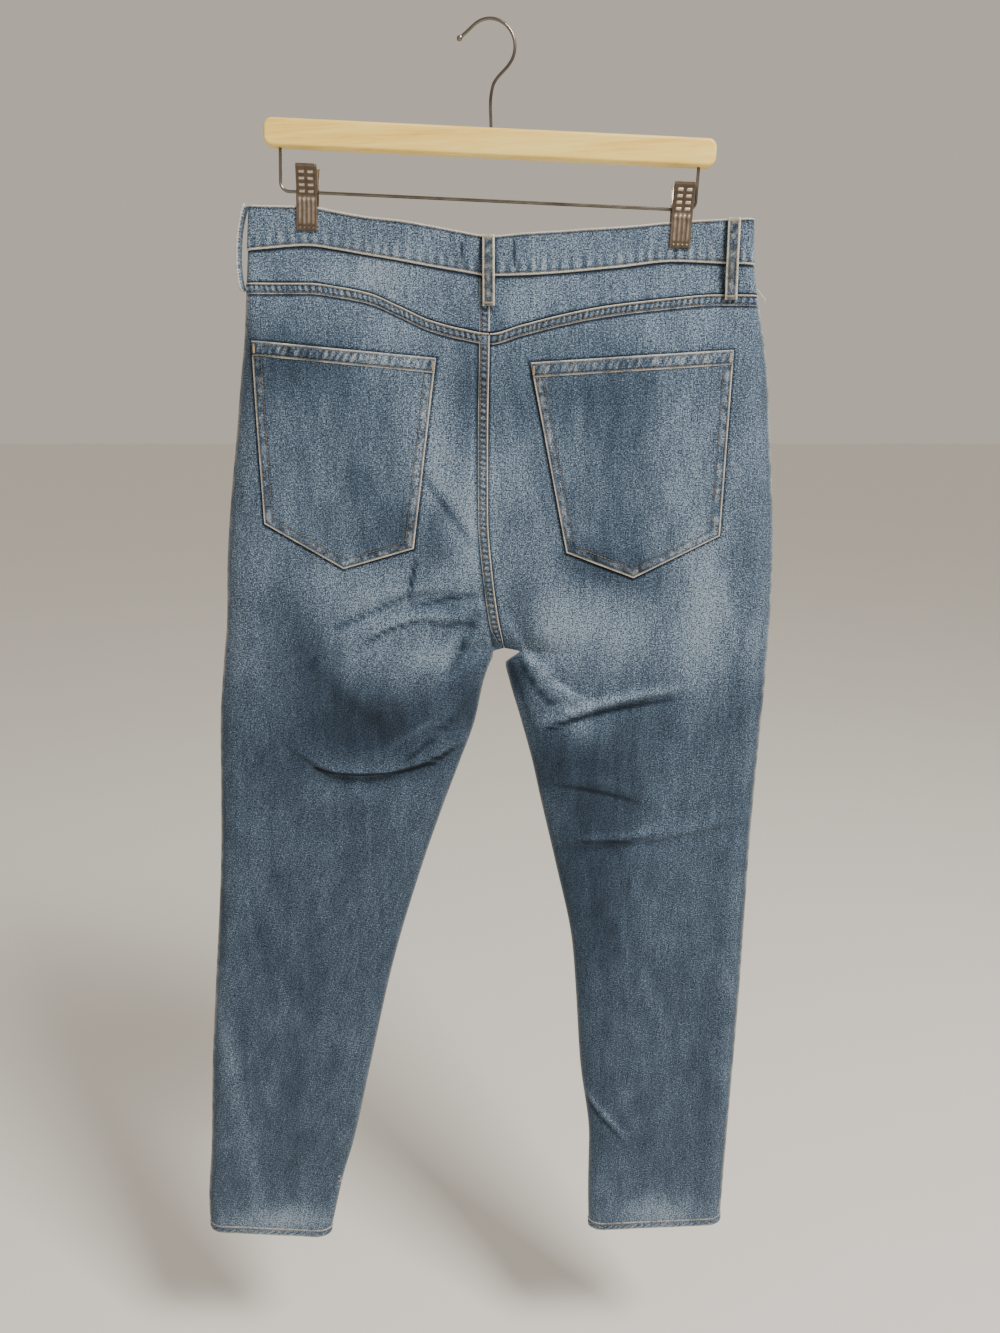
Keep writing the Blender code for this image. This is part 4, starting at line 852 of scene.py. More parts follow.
def lattice_object(name, outer, inner, place, tone, wear, material):
    """Closed mesh of two lattices that share their border, with its cloth places, tone and wear."""
    rows, columns = outer.shape[:2]
    index = np.arange(rows * columns).reshape(rows, columns)
    under = index.copy()
    count = (rows - 2) * (columns - 2)
    under[1:-1, 1:-1] = rows * columns + np.arange(count).reshape(rows - 2, columns - 2)
    points = np.concatenate((outer.reshape(-1, 3), inner[1:-1, 1:-1].reshape(-1, 3)))
    middle_row = rows // 2
    middle = columns // 2
    down = outer[middle_row + 1, middle] - outer[middle_row - 1, middle]
    along = outer[middle_row, middle + 1] - outer[middle_row, middle - 1]
    outward = outer[middle_row, middle] - inner[middle_row, middle]
    faces = np.concatenate((grid_quads(index), grid_quads(under)[:, (0, 3, 2, 1)]))
    if np.dot(np.cross(down, along), outward) < 0:
        faces = faces[:, ::-1]
    mesh = bpy.data.meshes.new(name)
    mesh.from_pydata((points * MM).tolist(), [], faces.tolist())
    cloth_place = np.concatenate((place.reshape(-1, 2), place[1:-1, 1:-1].reshape(-1, 2))) * MM
    corner = np.empty(len(mesh.loops), np.int32)
    mesh.loops.foreach_get("vertex_index", corner)
    layer = mesh.uv_layers.new(name="cloth")
    layer.data.foreach_set("uv", cloth_place[corner].ravel())
    inside_tone = INSIDE_TONE + 0.02 * (tone[1:-1, 1:-1].ravel() - 0.5)
    for label, seen, hidden in (("tone", tone, inside_tone), ("wear", wear, np.zeros(count))):
        values = np.concatenate((seen.ravel(), hidden)).astype(np.float32)
        mesh.attributes.new(label, "FLOAT", "POINT").data.foreach_set("value", values)
    mesh.materials.append(material)
    mesh.shade_smooth()
    mesh.validate()
    return add_object(name, mesh)


# A piece of cloth on one side and face. `inside` and `outside` say how far its two faces stand from
# the garment's face, and `rounds` are the radii of its top, bottom, first and last edges.
Cloth = namedtuple("Cloth", "name side face across height inside outside rounds tone wear")


def cloth_wall(cloth, material):
    """Closed cloth on the garment's face with rounded edges.

    A point of the outer lattice lies at middle + k (outside - middle) along the normal, one of the
    inner lattice at middle + k (inside - middle). k is the product of a quarter round over each of
    the four borders (top, bottom, first column, last column), so both meet on the border.
    """
    across = cloth.across
    height = cloth.height
    depth = face_depth(cloth.side, cloth.face, across, height)
    points = np.stack((across, cloth.face * depth, height), axis=-1)
    normal = lattice_normals(cloth.face, points)
    on_side_seam = np.zeros(across.shape, bool)
    for edge in (LEFT, RIGHT):
        on_edge = np.abs(across - outer_edge(edge, height)) < SEAM_TOLERANCE
        normal[on_edge] = (edge, 0.0, 0.0)
        on_side_seam |= on_edge
    on_inner = np.abs(across - inner_edge(cloth.side, height)) < SEAM_TOLERANCE
    on_inseam = on_inner & (height <= CROTCH)
    normal[on_inseam] = (-cloth.side, 0.0, 0.0)
    from_top, from_bottom = run_lengths(points, 0)
    from_first, from_last = run_lengths(points, 1)
    k = np.ones(across.shape)
    for distance, radius in zip((from_top, from_bottom, from_first, from_last), cloth.rounds):
        k = k * quarter_round(distance, radius)
    inside = np.broadcast_to(cloth.inside, across.shape)
    outside = np.broadcast_to(cloth.outside, across.shape)
    middle = 0.5 * (inside + outside)
    outer = points + normal * (middle + k * (outside - middle))[..., None]
    inner = points + normal * (middle + k * (inside - middle))[..., None]
    for grid in (outer, inner):
        grid[..., 1] = cloth.face * np.maximum(cloth.face * grid[..., 1], 0.5 * SEAM_GAP)
        grid[on_side_seam | on_inseam, 1] = cloth.face * 0.5 * SEAM_GAP
    centre = across.shape[1] // 2
    run = from_first - from_first[:, centre:centre + 1] + across[:, centre:centre + 1]
    place = np.stack((run, height), axis=-1)
    tone = np.broadcast_to(cloth.tone, across.shape)
    wear = np.broadcast_to(cloth.wear, across.shape)
    return lattice_object(cloth.name, outer, inner, place, tone, np.clip(wear, 0.0, 1.0), material)


def edge_offsets(width, power):
    """Distances from an edge at which its rounding reaches each share of RISES."""
    width = np.asarray(width)[..., None]
    power = np.asarray(power)[..., None]
    return width * (2 / np.pi) * np.arcsin(np.array(RISES) ** (1 / power))


def fine_columns(side, height, middle):
    """Across places of lattice rows: even steps of depth in the rounded edges, even between them."""
    height = np.asarray(height, float)
    inner = inner_edge(side, height)[..., None]
    outer = outer_edge(side, height)[..., None]
    outer_width = through(EDGE_ROUND, "height", "outer", height)
    from_outer = edge_offsets(outer_width, OUTER_POWER)
    inner_width = through(EDGE_ROUND, "height", "inner", height)
    inner_power = through(EDGE_ROUND, "height", "inner_power", height)
    leg = edge_offsets(np.minimum(inner_width, INNER_REACH), inner_power)
    seat_share = smooth_step(CROTCH - SEAT_BLEND, CROTCH + SEAT_BLEND, height)[..., None]
    from_inner = seat_share * np.array(SEAT_STEPS) + (1 - seat_share) * leg
    start = inner + side * from_inner
    end = outer - side * from_outer[..., ::-1]
    share = np.linspace(0.0, 1.0, middle + 2)[1:-1]
    between = start[..., -1:] + (end[..., :1] - start[..., -1:]) * share
    return np.concatenate((start, between, end), axis=-1)


def columns_at(side, line, start_height, middle):
    """Across and height of the fine columns where they meet a line, found by a few repeats."""
    count = 2 * len(RISES) + middle
    height = np.full(count, start_height)
    for _ in range(LINE_REPEATS):
        across = fine_columns(side, height, middle)[np.arange(count), np.arange(count)]
        height = line(across)
    return across, height


def rows_on(heights, side, middle):
    """Across places for a lattice of heights whose columns are the fine columns."""
    across = np.empty(heights.shape)
    for k in range(heights.shape[1]):
        across[:, k] = fine_columns(side, heights[:, k], middle)[:, k]
    return across


def hem_line(side, across):
    """Height of a leg's turned hem at each across place, along a straight line between its ends."""
    height = np.full(np.shape(across), HEM_OUTER[side])
    for _ in range(HEM_REPEATS):
        inner = inner_edge(side, height)
        share = np.clip((across - inner) / (outer_edge(side, height) - inner), 0.0, 1.0)
        height = HEM_INNER[side] + (HEM_OUTER[side] - HEM_INNER[side]) * share
    return height


def leg_heights():
    """Heights of the leg's rows from the crotch to the hem's stitch line, as shares of the way."""
    heights = [CROTCH]
    while heights[-1] > LEG_ROWS_END:
        step = np.interp(-heights[-1], -column(LEG_ROWS, "height"), column(LEG_ROWS, "step"))
        heights.append(heights[-1] - float(step))
    heights = np.array(heights)
    return (heights[0] - heights) / (heights[0] - heights[-1])


def panel_rows(top, bottom):
    """Heights of a panel's lattice between a top line and a bottom line, fine beside both."""
    first = top - np.array(EDGE_STEPS)[:, None]
    last = bottom + np.array(EDGE_STEPS)[::-1, None]
    seat_count = int((first[-1].max() - CROTCH) / SEAT_ROW)
    seat_share = np.linspace(0.0, 1.0, seat_count)[1:-1, None]
    seat = first[-1] + (CROTCH - first[-1]) * seat_share
    leg = CROTCH + (last[0] - CROTCH) * leg_heights()[:-1, None]
    return np.concatenate((first, seat, leg, last))


def side_name(side):
    """The word for a side in the names of pieces."""
    return "left" if side == LEFT else "right"


def dress(piece, node):
    """The piece rides on the fixed body and stands for its CAD node."""
    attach(piece, "root")
    if node:
        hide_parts(node)
    return piece


def sew(cloth, node, material):
    """Make a piece of cloth, which stands for its CAD node if it has one."""
    return dress(cloth_wall(cloth, material), node)


def panel_cloth(side, face, heights, middle, name):
    """A leg panel of bare cloth on the given heights, before its hem and fells are laid on it."""
    across = rows_on(heights, side, middle)
    tone = tone_with_painted_light(face, across, heights)
    # Painted shadow along the lower edge of the yoke fell and beside the centre fell, each with a slightly
    # paler band past it
    under_fell = heights[:1] - heights - FELLED_WIDTH
    tone = tone - 0.42 * bell(under_fell - 0.6, 1.0) + 0.10 * bell(under_fell - 3.0, 1.2)
    from_inner = np.abs(across - inner_edge(side, heights))
    beside_fell = np.where(heights > CROTCH, from_inner, FAR) - (CENTRE_FELL if side == LEFT else 0.0)
    tone = tone - 0.36 * bell(beside_fell - 0.5, 1.2) + 0.08 * bell(beside_fell - 3.6, 1.6)
    seam = np.abs(across - outer_edge(side, heights))
    inseam = np.where(heights < CROTCH, from_inner, FAR)
    pucker = value_noise(across * 0.0, heights, 9.0, 5.5, 31)
    wear = (0.42 + 0.30 * pucker) * bell(seam, 2.4) + 0.25 * bell(inseam, 1.4)
    tone = tone - 0.06 * bell(seam - 4.0, 2.5)
    return Cloth(name, side, face, across, heights, -DENIM, 0.0, (0.5, 0.4, 0.5, 0.7), tone, wear)


def back_panel(side, material):
    """Back leg panel from the yoke seam down to the stitch line of its hem."""
    _, top = columns_at(side, back_yoke_line, -220.0, BACK_MIDDLE)
    bottom = hem_top(side, BACK_MIDDLE)
    heights = panel_rows(top - 0.5 * SEAM_GAP, bottom)
    name = f"back_panel_{side_name(side)}"
    return sew(panel_cloth(side, BACK, heights, BACK_MIDDLE, name + "_cloth"), name, material)


def hem_top(side, middle):
    """Heights of the columns at the stitch line of a leg's hem."""
    across = fine_columns(side, np.array([HEM_OUTER[side]]), middle)[0]
    return hem_line(side, across) + HEM_HEIGHT + 0.05


def front_columns(side, heights, top_across):
    """Across places of the front panel: its columns start on its top line and become regular."""
    regular = rows_on(heights, side, heights.shape[1] - 2 * len(RISES))
    blend = smooth_step(0.0, 130.0, heights[:1] - heights)
    inner = inner_edge(side, heights)
    outer = outer_edge(side, heights)
    top_share = (top_across - inner[0]) / (outer[0] - inner[0])
    from_outer = (outer[0] - top_across)[None, :]
    kept = np.where(np.abs(from_outer) < 25.0, outer - from_outer, inner + (outer - inner) * top_share)
    return kept * (1 - blend) + regular * blend


def front_panel(side, material):
    """Front leg panel with the quarter ellipse of the pocket's mouth as part of its top line."""
    edge = outer_edge(side, CLIP_HEIGHT)
    seam = front_band_line(edge)
    mouth_edge = outer_edge(side, seam - MOUTH_DROP)
    outer_part = edge_offsets(MOUTH_ROUND, OUTER_POWER)[::-1]
    turns = np.linspace(0.0, math.acos(outer_part[0] / MOUTH_WIDTH), FRONT_ARC + 1)[:-1]
    arc_offsets = MOUTH_WIDTH * np.cos(turns)
    start = inner_edge(side, FRONT_SEAM_TOP) + side * np.array(SEAT_STEPS)
    even = np.linspace(start[-1], edge - side * MOUTH_WIDTH, FRONT_MIDDLE - FRONT_ARC + 2)[1:-1]
    offsets = np.concatenate((arc_offsets, outer_part))
    reach = np.clip(offsets / MOUTH_WIDTH, 0.0, 1.0)
    arc_height = seam - MOUTH_DROP * np.sqrt(1 - reach ** 2)
    arc_across = mouth_edge - side * offsets + (edge - mouth_edge) * reach ** 2
    across = np.concatenate((start, even, arc_across))
    top = np.concatenate((front_band_line(np.concatenate((start, even))), arc_height)) - 0.5 * SEAM_GAP
    across[-1] = outer_edge(side, top)[-1]
    heights = panel_rows(top, hem_top(side, FRONT_MIDDLE))
    places = front_columns(side, heights, across)
    name = f"front_panel_{side_name(side)}"
    tone = tone_with_painted_light(FRONT, places, heights)
    from_top = heights[:1] - heights
    on_mouth = (np.abs(across - edge) < MOUTH_WIDTH + 1.0)[None, :]
    wear = np.where(on_mouth, 0.7 * bell(from_top, 1.2), 0.0)
    wear = wear + 0.25 * bell(np.abs(places - outer_edge(side, heights)), 1.2)
    rounds = (0.7, 0.4, 0.5, 0.7)
    cloth = Cloth(name + "_cloth", side, FRONT, places, heights, -DENIM, 0.0, rounds, tone, wear)
    return sew(cloth, name, material)


def hem_band(side, face, material):
    """Turned hem of one leg panel: three plies thick, roped by its stitches, pale on its edge."""
    inner = inner_edge(side, HEM_INNER[side])
    outer = outer_edge(side, HEM_OUTER[side])
    width = abs(outer - inner)
    share = graded(edge_offsets(HEM_ROUND, OUTER_POWER), width, HEM_COLUMNS) / width
    down = np.array(HEM_STEPS)[:, None]
    line = HEM_INNER[side] + (HEM_OUTER[side] - HEM_INNER[side]) * share
    heights = line + HEM_HEIGHT - down * (HEM_HEIGHT / HEM_STEPS[-1])
    start = inner_edge(side, heights)
    across = start + (outer_edge(side, heights) - start) * share
    rope = ladder(across + 1.6 * down, 7.0, 41 + side)
    waves = bell(down - 5.6, 3.2)
    groove = bell(down - 1.8, 0.7)
    outside = 0.75 + 0.28 * rope * waves - 0.22 * groove
    patchy = 0.5 + 0.5 * line_noise(across, 11.0, 45 + side)
    tone = tone_with_painted_light(face, across, heights) + 0.22 * rope * waves - 0.16 * groove
    wear = (0.45 + 0.6 * patchy) * bell(down - HEM_STEPS[-1], 1.6)
    wear = wear + (0.2 + 0.5 * patchy) * bell(down - 0.2, 0.9)
    wear = wear + 0.25 * np.clip(rope, 0.0, 1.0) * waves * patchy
    name = f"hem_{'back' if face == BACK else 'front'}_{side_name(side)}"
    cloth = Cloth(name, side, face, across, heights, -2.2, outside, (0.5, 1.3, 0.5, 0.5), tone, wear)
    return sew(cloth, None, material)


def strip_cloth(name, side, face, edge_a, edge_b, lift, seed, material):
    """Felled seam: a strip between two edges, with a groove along each of its two stitch rows.

    Its first edge is rubbed to a crisp pale line. Between the rows the cloth puckers: a noise along
    the strip, about 5 mm from crest to crest.
    """
    levels = np.array(FELL_STEPS)[:, None] / FELL_STEPS[-1]
    across = edge_a[0] + (edge_b[0] - edge_a[0]) * levels
    height = edge_a[1] + (edge_b[1] - edge_a[1]) * levels
    along, down = np.broadcast_arrays(line_run(*edge_a), levels * FELLED_WIDTH)
    pucker = ladder(along + 0.25 * down, 4.7, seed)
    body = bell(down - 4.5, 3.2, 4)
    groove = bell(down - STITCH_FROM_EDGE, 0.75) + bell(down - FELLED_WIDTH + STITCH_FROM_EDGE, 0.75)
    outside = lift + FELLED_PROUD + 0.40 * pucker * body - 0.20 * groove
    patchy = 0.5 + 0.5 * line_noise(along, 7.0, seed + 1)
    tone = tone_with_painted_light(face, across, height) - 0.10 + 0.24 * pucker * body - 0.46 * groove
    wear = (0.80 + 0.35 * patchy) * bell(down - 0.2, 0.95, 4)
    wear = wear + (0.15 + 0.40 * patchy) * bell(down - 8.7, 0.7)
    wear = wear + 0.30 * np.clip(pucker, 0.0, 1.0) * body * patchy
    wear = wear * (1 - 0.8 * np.clip(groove, 0.0, 1.0))
    cloth = Cloth(name, side, face, across, height, lift, outside, (0.35, 0.4, 0.3, 0.3), tone, wear)
    return sew(cloth, None, material)


def yoke_fell(side, material):
    """Felled seam under the yoke, on the top of one back panel."""
    inner = inner_edge(side, YOKE_SEAM_INNER) + side * 0.4
    outer = outer_edge(side, YOKE_SEAM_OUTER) - side * 1.2
    across = inner + side * graded(FELL_END_STEPS, abs(outer - inner), FELL_COLUMNS)
    upper = (across, back_yoke_line(across) - 0.1)
    lower = (across, back_yoke_line(across) - FELLED_WIDTH)
    name = f"yoke_fell_{side_name(side)}"
    return strip_cloth(name, side, BACK, upper, lower, FELL_LIFT, 51 + side, material)


def centre_fell(top, bottom, name, seed, material):
    """Felled centre seam, which lies to the left of the seam line, from one height to another."""
    count = max(12, int(abs(top - bottom) / FELL_PITCH))
    height = np.linspace(top, bottom, count)
    line = inner_edge(LEFT, height)
    slope = np.gradient(line) / np.gradient(height)
    width = CENTRE_FELL * np.clip((height - CROTCH) / 26.0 + 0.25, 0.25, 1.0)
    right_edge = (line + 0.1, height)
    left_edge = (line - width, height + slope * width)
    return strip_cloth(name, LEFT, BACK, right_edge, left_edge, FELL_LIFT, seed, material)


def yoke(side, material):
    """Back yoke between the waistband and the back panel."""
    _, bottom = columns_at(side, back_yoke_line, -210.0, BACK_MIDDLE)
    _, top = columns_at(side, back_band_line, -175.0, BACK_MIDDLE)
    top = top - 0.5 * SEAM_GAP
    bottom = bottom + 0.5 * SEAM_GAP
    heights = top + (bottom - top) * graded(YOKE_STEPS, 1.0, YOKE_ROWS)[:, None]
    across = rows_on(heights, side, BACK_MIDDLE)
    tone = tone_with_painted_light(BACK, across, heights)
    near_top = np.abs(heights - back_band_line(across))
    near_bottom = np.abs(heights - back_yoke_line(across))
    # Painted shadow under the waistband's proud edge; above the fell's edge a dark line of dirt and painted
    # shadow; painted shadow beside the belt loops
    tone = tone - 0.70 * bell(near_bottom, 1.4) - 0.90 * bell(near_top, 1.7)
    tone = tone - loop_painted_shadow(BACK, across)
    tone = tone + 0.08 * value_noise(across, heights, 4.6, 16.0, 61) * bell(near_bottom, 9.0)
    wear = 0.3 * bell(np.abs(across - outer_edge(side, heights)), 1.2)
    name = f"yoke_{side_name(side)}"
    rounds = (0.3, 0.3, 0.4, 0.7)
    cloth = Cloth(name + "_cloth", side, BACK, across, heights, -DENIM, 0.0, rounds, tone, wear)
    return sew(cloth, name, material)


def band_lattice(face, from_across, to_across):
    """Lattice of the waistband between two across places on its lower seam."""
    table = BACK_LINES if face == BACK else FRONT_LINES
    left_end = outer_edge(LEFT, CLIP_HEIGHT)
    right_end = outer_edge(RIGHT, CLIP_HEIGHT)
    near = np.append(edge_offsets(BAND_ROUND, OUTER_POWER), BAND_ROUND + 3.0)
    loose = np.array(BAND_END_STEPS)
    first = near if from_across is None else loose
    last = near if to_across is None else loose
    start = left_end if from_across is None else from_across
    end = right_end if to_across is None else to_across
    middle = np.linspace(start + first[-1], end - last[-1], BAND_COLUMNS[face])[1:-1]
    place = np.concatenate((start + first, middle, end - last[::-1]))
    share_of_width = (place - left_end) / (right_end - left_end)
    top = through(table, "across", "band_top", place)
    bottom = through(table, "across", "band_seam", place) + 0.5 * SEAM_GAP
    share = np.concatenate((BAND_TOP_STEPS, np.linspace(0.12, 0.88, 18), BAND_FOOT_STEPS))
    height = top + (bottom - top) * share[:, None]
    left = outer_edge(LEFT, height)
    right = outer_edge(RIGHT, height)
    return left + (right - left) * share_of_width, height


def waistband_length(name, side, face, ends, raised, material):
    """One length of the waistband, with its worn edges, stitch grooves and puckered lower third."""
    across, height = band_lattice(face, *ends)
    table = BACK_LINES if face == BACK else FRONT_LINES
    top = through(table, "across", "band_top", across)
    seam = through(table, "across", "band_seam", across)
    down = np.abs(top - height)
    up = np.abs(height - seam)
    pucker = ladder(across, 8.6, 71) * bell(up - 6.0, 5.5)
    top_pucker = line_noise(across, 3.2, 72) * bell(down - 4.0, 3.0)
    groove = bell(down - 2.0, 0.55) + bell(up - 2.0, 0.55)
    lift = raised(across)
    patchy = 0.5 + 0.5 * line_noise(across, 8.0, 73)
    outside = lift + BAND_PROUD + 0.26 * pucker + 0.14 * top_pucker - 0.18 * groove
    tone = tone_with_painted_light(face, across, height) + 0.20 * pucker + 0.08 * top_pucker - 0.12 * groove
    tone = tone - 0.34 * bell(down - 2.2, 0.8) - 0.20 * bell(up - 2.7, 0.8)
    # Painted shadow beside the belt loops
    tone = tone - loop_painted_shadow(face, across)
    if face == BACK:
        for mark in BAND_MARKS:
            tone = tone - 0.45 * bump(height, *BAND_MARK_HEIGHTS, BAND_MARK_FADE) * bell(across - mark, 1.1)
    wear = (0.85 + 0.35 * patchy) * bell(down, 1.3, 4)
    wear = wear + (0.95 + 0.35 * patchy) * bell(up, 1.5, 4)
    wear = wear + 0.25 * np.clip(pucker, 0.0, 1.0) * patchy
    inside = lift - (BAND_THICKNESS - BAND_PROUD)
    rounds = (1.1, 0.6, 0.6, 0.6)
    cloth = Cloth(name + "_cloth", side, face, across, height, inside, outside, rounds, tone, wear)
    return sew(cloth, name, material)


def flat_lift(across):
    """A length of waistband that lies straight on the garment's face."""
    return np.zeros(np.shape(across))


def lapped_lift(across):
    """The left front length rises over the right one where the two lap."""
    ramp = smooth_step(-BAND_OVERLAP - OVERLAP_RAMP, -BAND_OVERLAP - OVERLAP_FLAT, across)
    return (BAND_THICKNESS + LAP_CLEAR) * ramp


def line_distance(start, end, across, height):
    """Distance of places from the straight line through two points, on its left side positive."""
    run = unit(np.array(end) - np.array(start))
    return run[0] * (height - start[1]) - run[1] * (across - start[0])


def pocket_outline(pocket):
    """Corners of a pocket against the clock, from its top left corner."""
    return [pocket.top_left, pocket.bottom_left, pocket.tip, pocket.bottom_right, pocket.top_right]


def sewn_distance(pocket, across, height):
    """Distance from the nearest of the pocket's four sewn edges: two sides and two feet."""
    corners = pocket_outline(pocket)
    distances = [line_distance(a, b, across, height) for a, b in zip(corners[:-1], corners[1:])]
    return np.min(np.abs(np.array(distances)), axis=0)


def pocket_lattice(pocket, columns, rows):
    """Ruled lattice from a pocket's mouth to its pointed foot; a column ends in the tip."""
    share = graded(POCKET_STEPS, 1.0, columns)
    tip_share = (pocket.tip[0] - pocket.bottom_left[0]) / (pocket.bottom_right[0] - pocket.bottom_left[0])
    share[np.argmin(np.abs(share - tip_share))] = tip_share
    rows_share = graded(POCKET_STEPS, 1.0, rows)[:, None]
    top_x = pocket.top_left[0] + (pocket.top_right[0] - pocket.top_left[0]) * share
    top_z = pocket.top_left[1] + (pocket.top_right[1] - pocket.top_left[1]) * share
    foot_x = pocket.bottom_left[0] + (pocket.bottom_right[0] - pocket.bottom_left[0]) * share
    foot = np.array((pocket.bottom_left, pocket.tip, pocket.bottom_right))
    foot_z = np.interp(foot_x, foot[:, 0], foot[:, 1])
    return top_x + (foot_x - top_x) * rows_share, top_z + (foot_z - top_z) * rows_share


def pocket_relief(pocket, seed, across, height):
    """Distance from a pocket's sewn edges, its puckers beside them and its two stitch grooves."""
    sewn = sewn_distance(pocket, across, height)
    pucker = value_noise(across, height, 3.0, 3.0, seed) * bell(sewn - 4.6, 3.0)
    groove = bell(sewn - POCKET_ROWS[0], 0.7) + 0.7 * bell(sewn - POCKET_ROWS[1], 0.8)
    return sewn, pucker, groove


def back_pocket(side, material):
    """Patch pocket: its cloth lies on the seat, crisp and pale along its turned edges."""
    pocket = BACK_POCKETS[side]
    across, height = pocket_lattice(pocket, POCKET_COLUMNS, POCKET_LINES)
    sewn, pucker, groove = pocket_relief(pocket, 81 + side, across, height)
    outside = POCKET_LIFT + POCKET_DENIM - 0.15 + 0.22 * pucker - 0.15 * groove
    patchy = 0.5 + 0.5 * value_noise(across, height, 8.0, 8.0, 84 + side)
    tone = tone_with_painted_light(BACK, across, height) + 0.22 * pucker - 0.38 * groove
    tone = tone + 0.05 * value_noise(across, height, 9.0, 30.0, 86 + side)
    wear = (0.50 + 0.6 * patchy) * bell(sewn - 0.2, 1.0, 4) + 0.40 * np.clip(pucker, 0.0, 1.0) * patchy
    name = f"back_pocket_{side_name(side)}"
    rounds = (0.6, 0.6, 0.6, 0.6)
    cloth = Cloth(name + "_cloth", side, BACK, across, height, POCKET_LIFT, outside, rounds, tone, wear)
    return sew(cloth, name, material)


def side_lean(top, bottom):
    """How far a pocket's side runs across for each mm down."""
    return (bottom[0] - top[0]) / (top[1] - bottom[1])


def pocket_hem(side, material):
    """Folded hem along a back pocket's mouth, strongly puckered between its two stitch rows."""
    pocket = BACK_POCKETS[side]
    left = pocket.top_left[0] + 0.5
    right = pocket.top_right[0] - 0.5
    x = left + graded(POCKET_HEM_END_STEPS, right - left, POCKET_HEM_COLUMNS)
    slope = (pocket.top_right[1] - pocket.top_left[1]) / (pocket.top_right[0] - pocket.top_left[0])
    mouth = pocket.top_left[1] + slope * (x - pocket.top_left[0]) + 0.25
    levels = np.array(POCKET_HEM_STEPS)[:, None]
    lean_left = side_lean(pocket.top_left, pocket.bottom_left)
    lean_right = side_lean(pocket.top_right, pocket.bottom_right)
    share = (x - left) / (right - left)
    across = x + (lean_left + (lean_right - lean_left) * share) * levels
    height = mouth - levels
    down = np.broadcast_to(levels, across.shape)
    uneven = value_noise(across, down, 2.6, 6.0, 97 + side)
    pucker = 0.6 * ladder(across + 0.6 * down, 5.6, 91 + side) + 0.7 * uneven
    pucker = pucker * bell(down - 5.6, 4.2, 4)
    groove = 0.4 * bell(down - POCKET_HEM_ROWS[0], 0.6) + bell(down - POCKET_HEM_ROWS[1], 0.8)
    patchy = 0.5 + 0.5 * line_noise(across, 8.0, 94 + side)
    base = POCKET_LIFT + POCKET_DENIM
    outside = base + POCKET_HEM_RISE + 0.34 * pucker - 0.20 * groove
    tone = tone_with_painted_light(BACK, across, height) + 0.02 + 0.26 * pucker - 0.42 * groove
    wear = (0.35 + 0.7 * patchy) * bell(down, 1.2, 4)
    wear = wear + (0.15 + 0.7 * patchy) * bell(down - 11.7, 0.8)
    wear = wear + 0.45 * np.clip(pucker, 0.0, 1.0) * patchy
    name = f"pocket_hem_{side_name(side)}"
    cloth = Cloth(name, side, BACK, across, height, base - 0.5, outside, (0.7, 0.5, 0.5, 0.5), tone, wear)
    return sew(cloth, None, material)


def front_facing(side, material):
    """Pocket facing behind a front mouth: a fan of lines from the corner of the side seam."""
    edge = outer_edge(side, CLIP_HEIGHT)
    width = MOUTH_WIDTH + FACING_UNDERLAP
    drop = MOUTH_DROP + FACING_UNDERLAP
    reach = np.append(edge_offsets(FACING_ROUND, OUTER_POWER), np.linspace(FACING_ROUND, width, 26)[1:])
    turns = np.arccos(np.clip(reach / width, 0.0, 1.0))[::-1]
    radius = np.concatenate(((0.02, 0.03, 0.045), np.linspace(0.08, 0.97, 30), (0.985, 0.994, 1.0)))[:, None]
    offset = radius * width * np.cos(turns)
    height = front_band_line(edge - side * offset) - FACING_BELOW_BAND - radius * drop * np.sin(turns)
    across = outer_edge(side, height) - side * offset
    behind = DENIM + LAP_CLEAR
    tone = tone_with_painted_light(FRONT, across, height) - 0.05
    name = f"front_facing_{side_name(side)}"
    inside = -behind - FACING_DENIM
    rounds = (0.4, 0.4, 0.4, 0.4)
    cloth = Cloth(name + "_cloth", side, FRONT, across, height, inside, -behind, rounds, tone, 0.0)
    return sew(cloth, name, material)


def fly(material):
    """Fly facing: straight along the front seam and curved into it at its foot."""
    edge = -0.5 * SEAM_GAP - FLY_INSET
    share = graded(FLY_STEPS, 1.0, FLY_COLUMNS)
    top = front_band_line(edge) - FLY_BELOW_BAND
    straight = np.linspace(top, FLY_BOTTOM + FLY_CURVE, 32)
    turns = np.linspace(0.0, 0.5 * math.pi - 0.05, 20)[1:]
    heights = np.concatenate((straight, FLY_BOTTOM + FLY_CURVE * (1 - np.sin(turns))))
    width = FLY_WIDTH * np.concatenate((np.ones(len(straight)), np.cos(turns)))
    across = edge - width[:, None] * share
    height = np.broadcast_to(heights[:, None], across.shape)
    slant = front_band_line(across[:1]) - front_band_line(edge)
    height = height + slant * smooth_step(FLY_BOTTOM + FLY_CURVE, top, height)
    tone = tone_with_painted_light(FRONT, across, height) - 0.03
    wear = 0.6 * bell(np.abs(across - edge), 1.0)
    outside = FLY_LIFT + FLY_DENIM
    rounds = (0.4, 0.4, 0.4, 0.4)
    cloth = Cloth("fly_cloth", LEFT, FRONT, across, height, FLY_LIFT, outside, rounds, tone, wear)
    return sew(cloth, "fly", material)


def loop_side(loop):
    """Side of the garment that a belt loop is on."""
    return LEFT if loop.across < 0 else RIGHT


def loop_lift(place):
    """How far the inner face of a flat loop stands out, from 0 at its top to 1 at its foot."""
    return BAND_PROUD + LOOP_CLEAR + LOOP_BULGE * np.sin(np.pi * place) ** 0.8


def loop_painted_shadow(face, across):
    """Painted shadow on the cloth along the sides of each belt loop, stronger on the left side."""
    shade = np.zeros(np.shape(across))
    for loop in LOOPS:
        if loop.face == face:
            beside = across - loop.across
            shade += 0.42 * bell(beside + 0.5 * LOOP_WIDTH + 1.0, 1.2)
            shade += 0.20 * bell(beside - 0.5 * LOOP_WIDTH - 0.6, 1.0)
    return shade


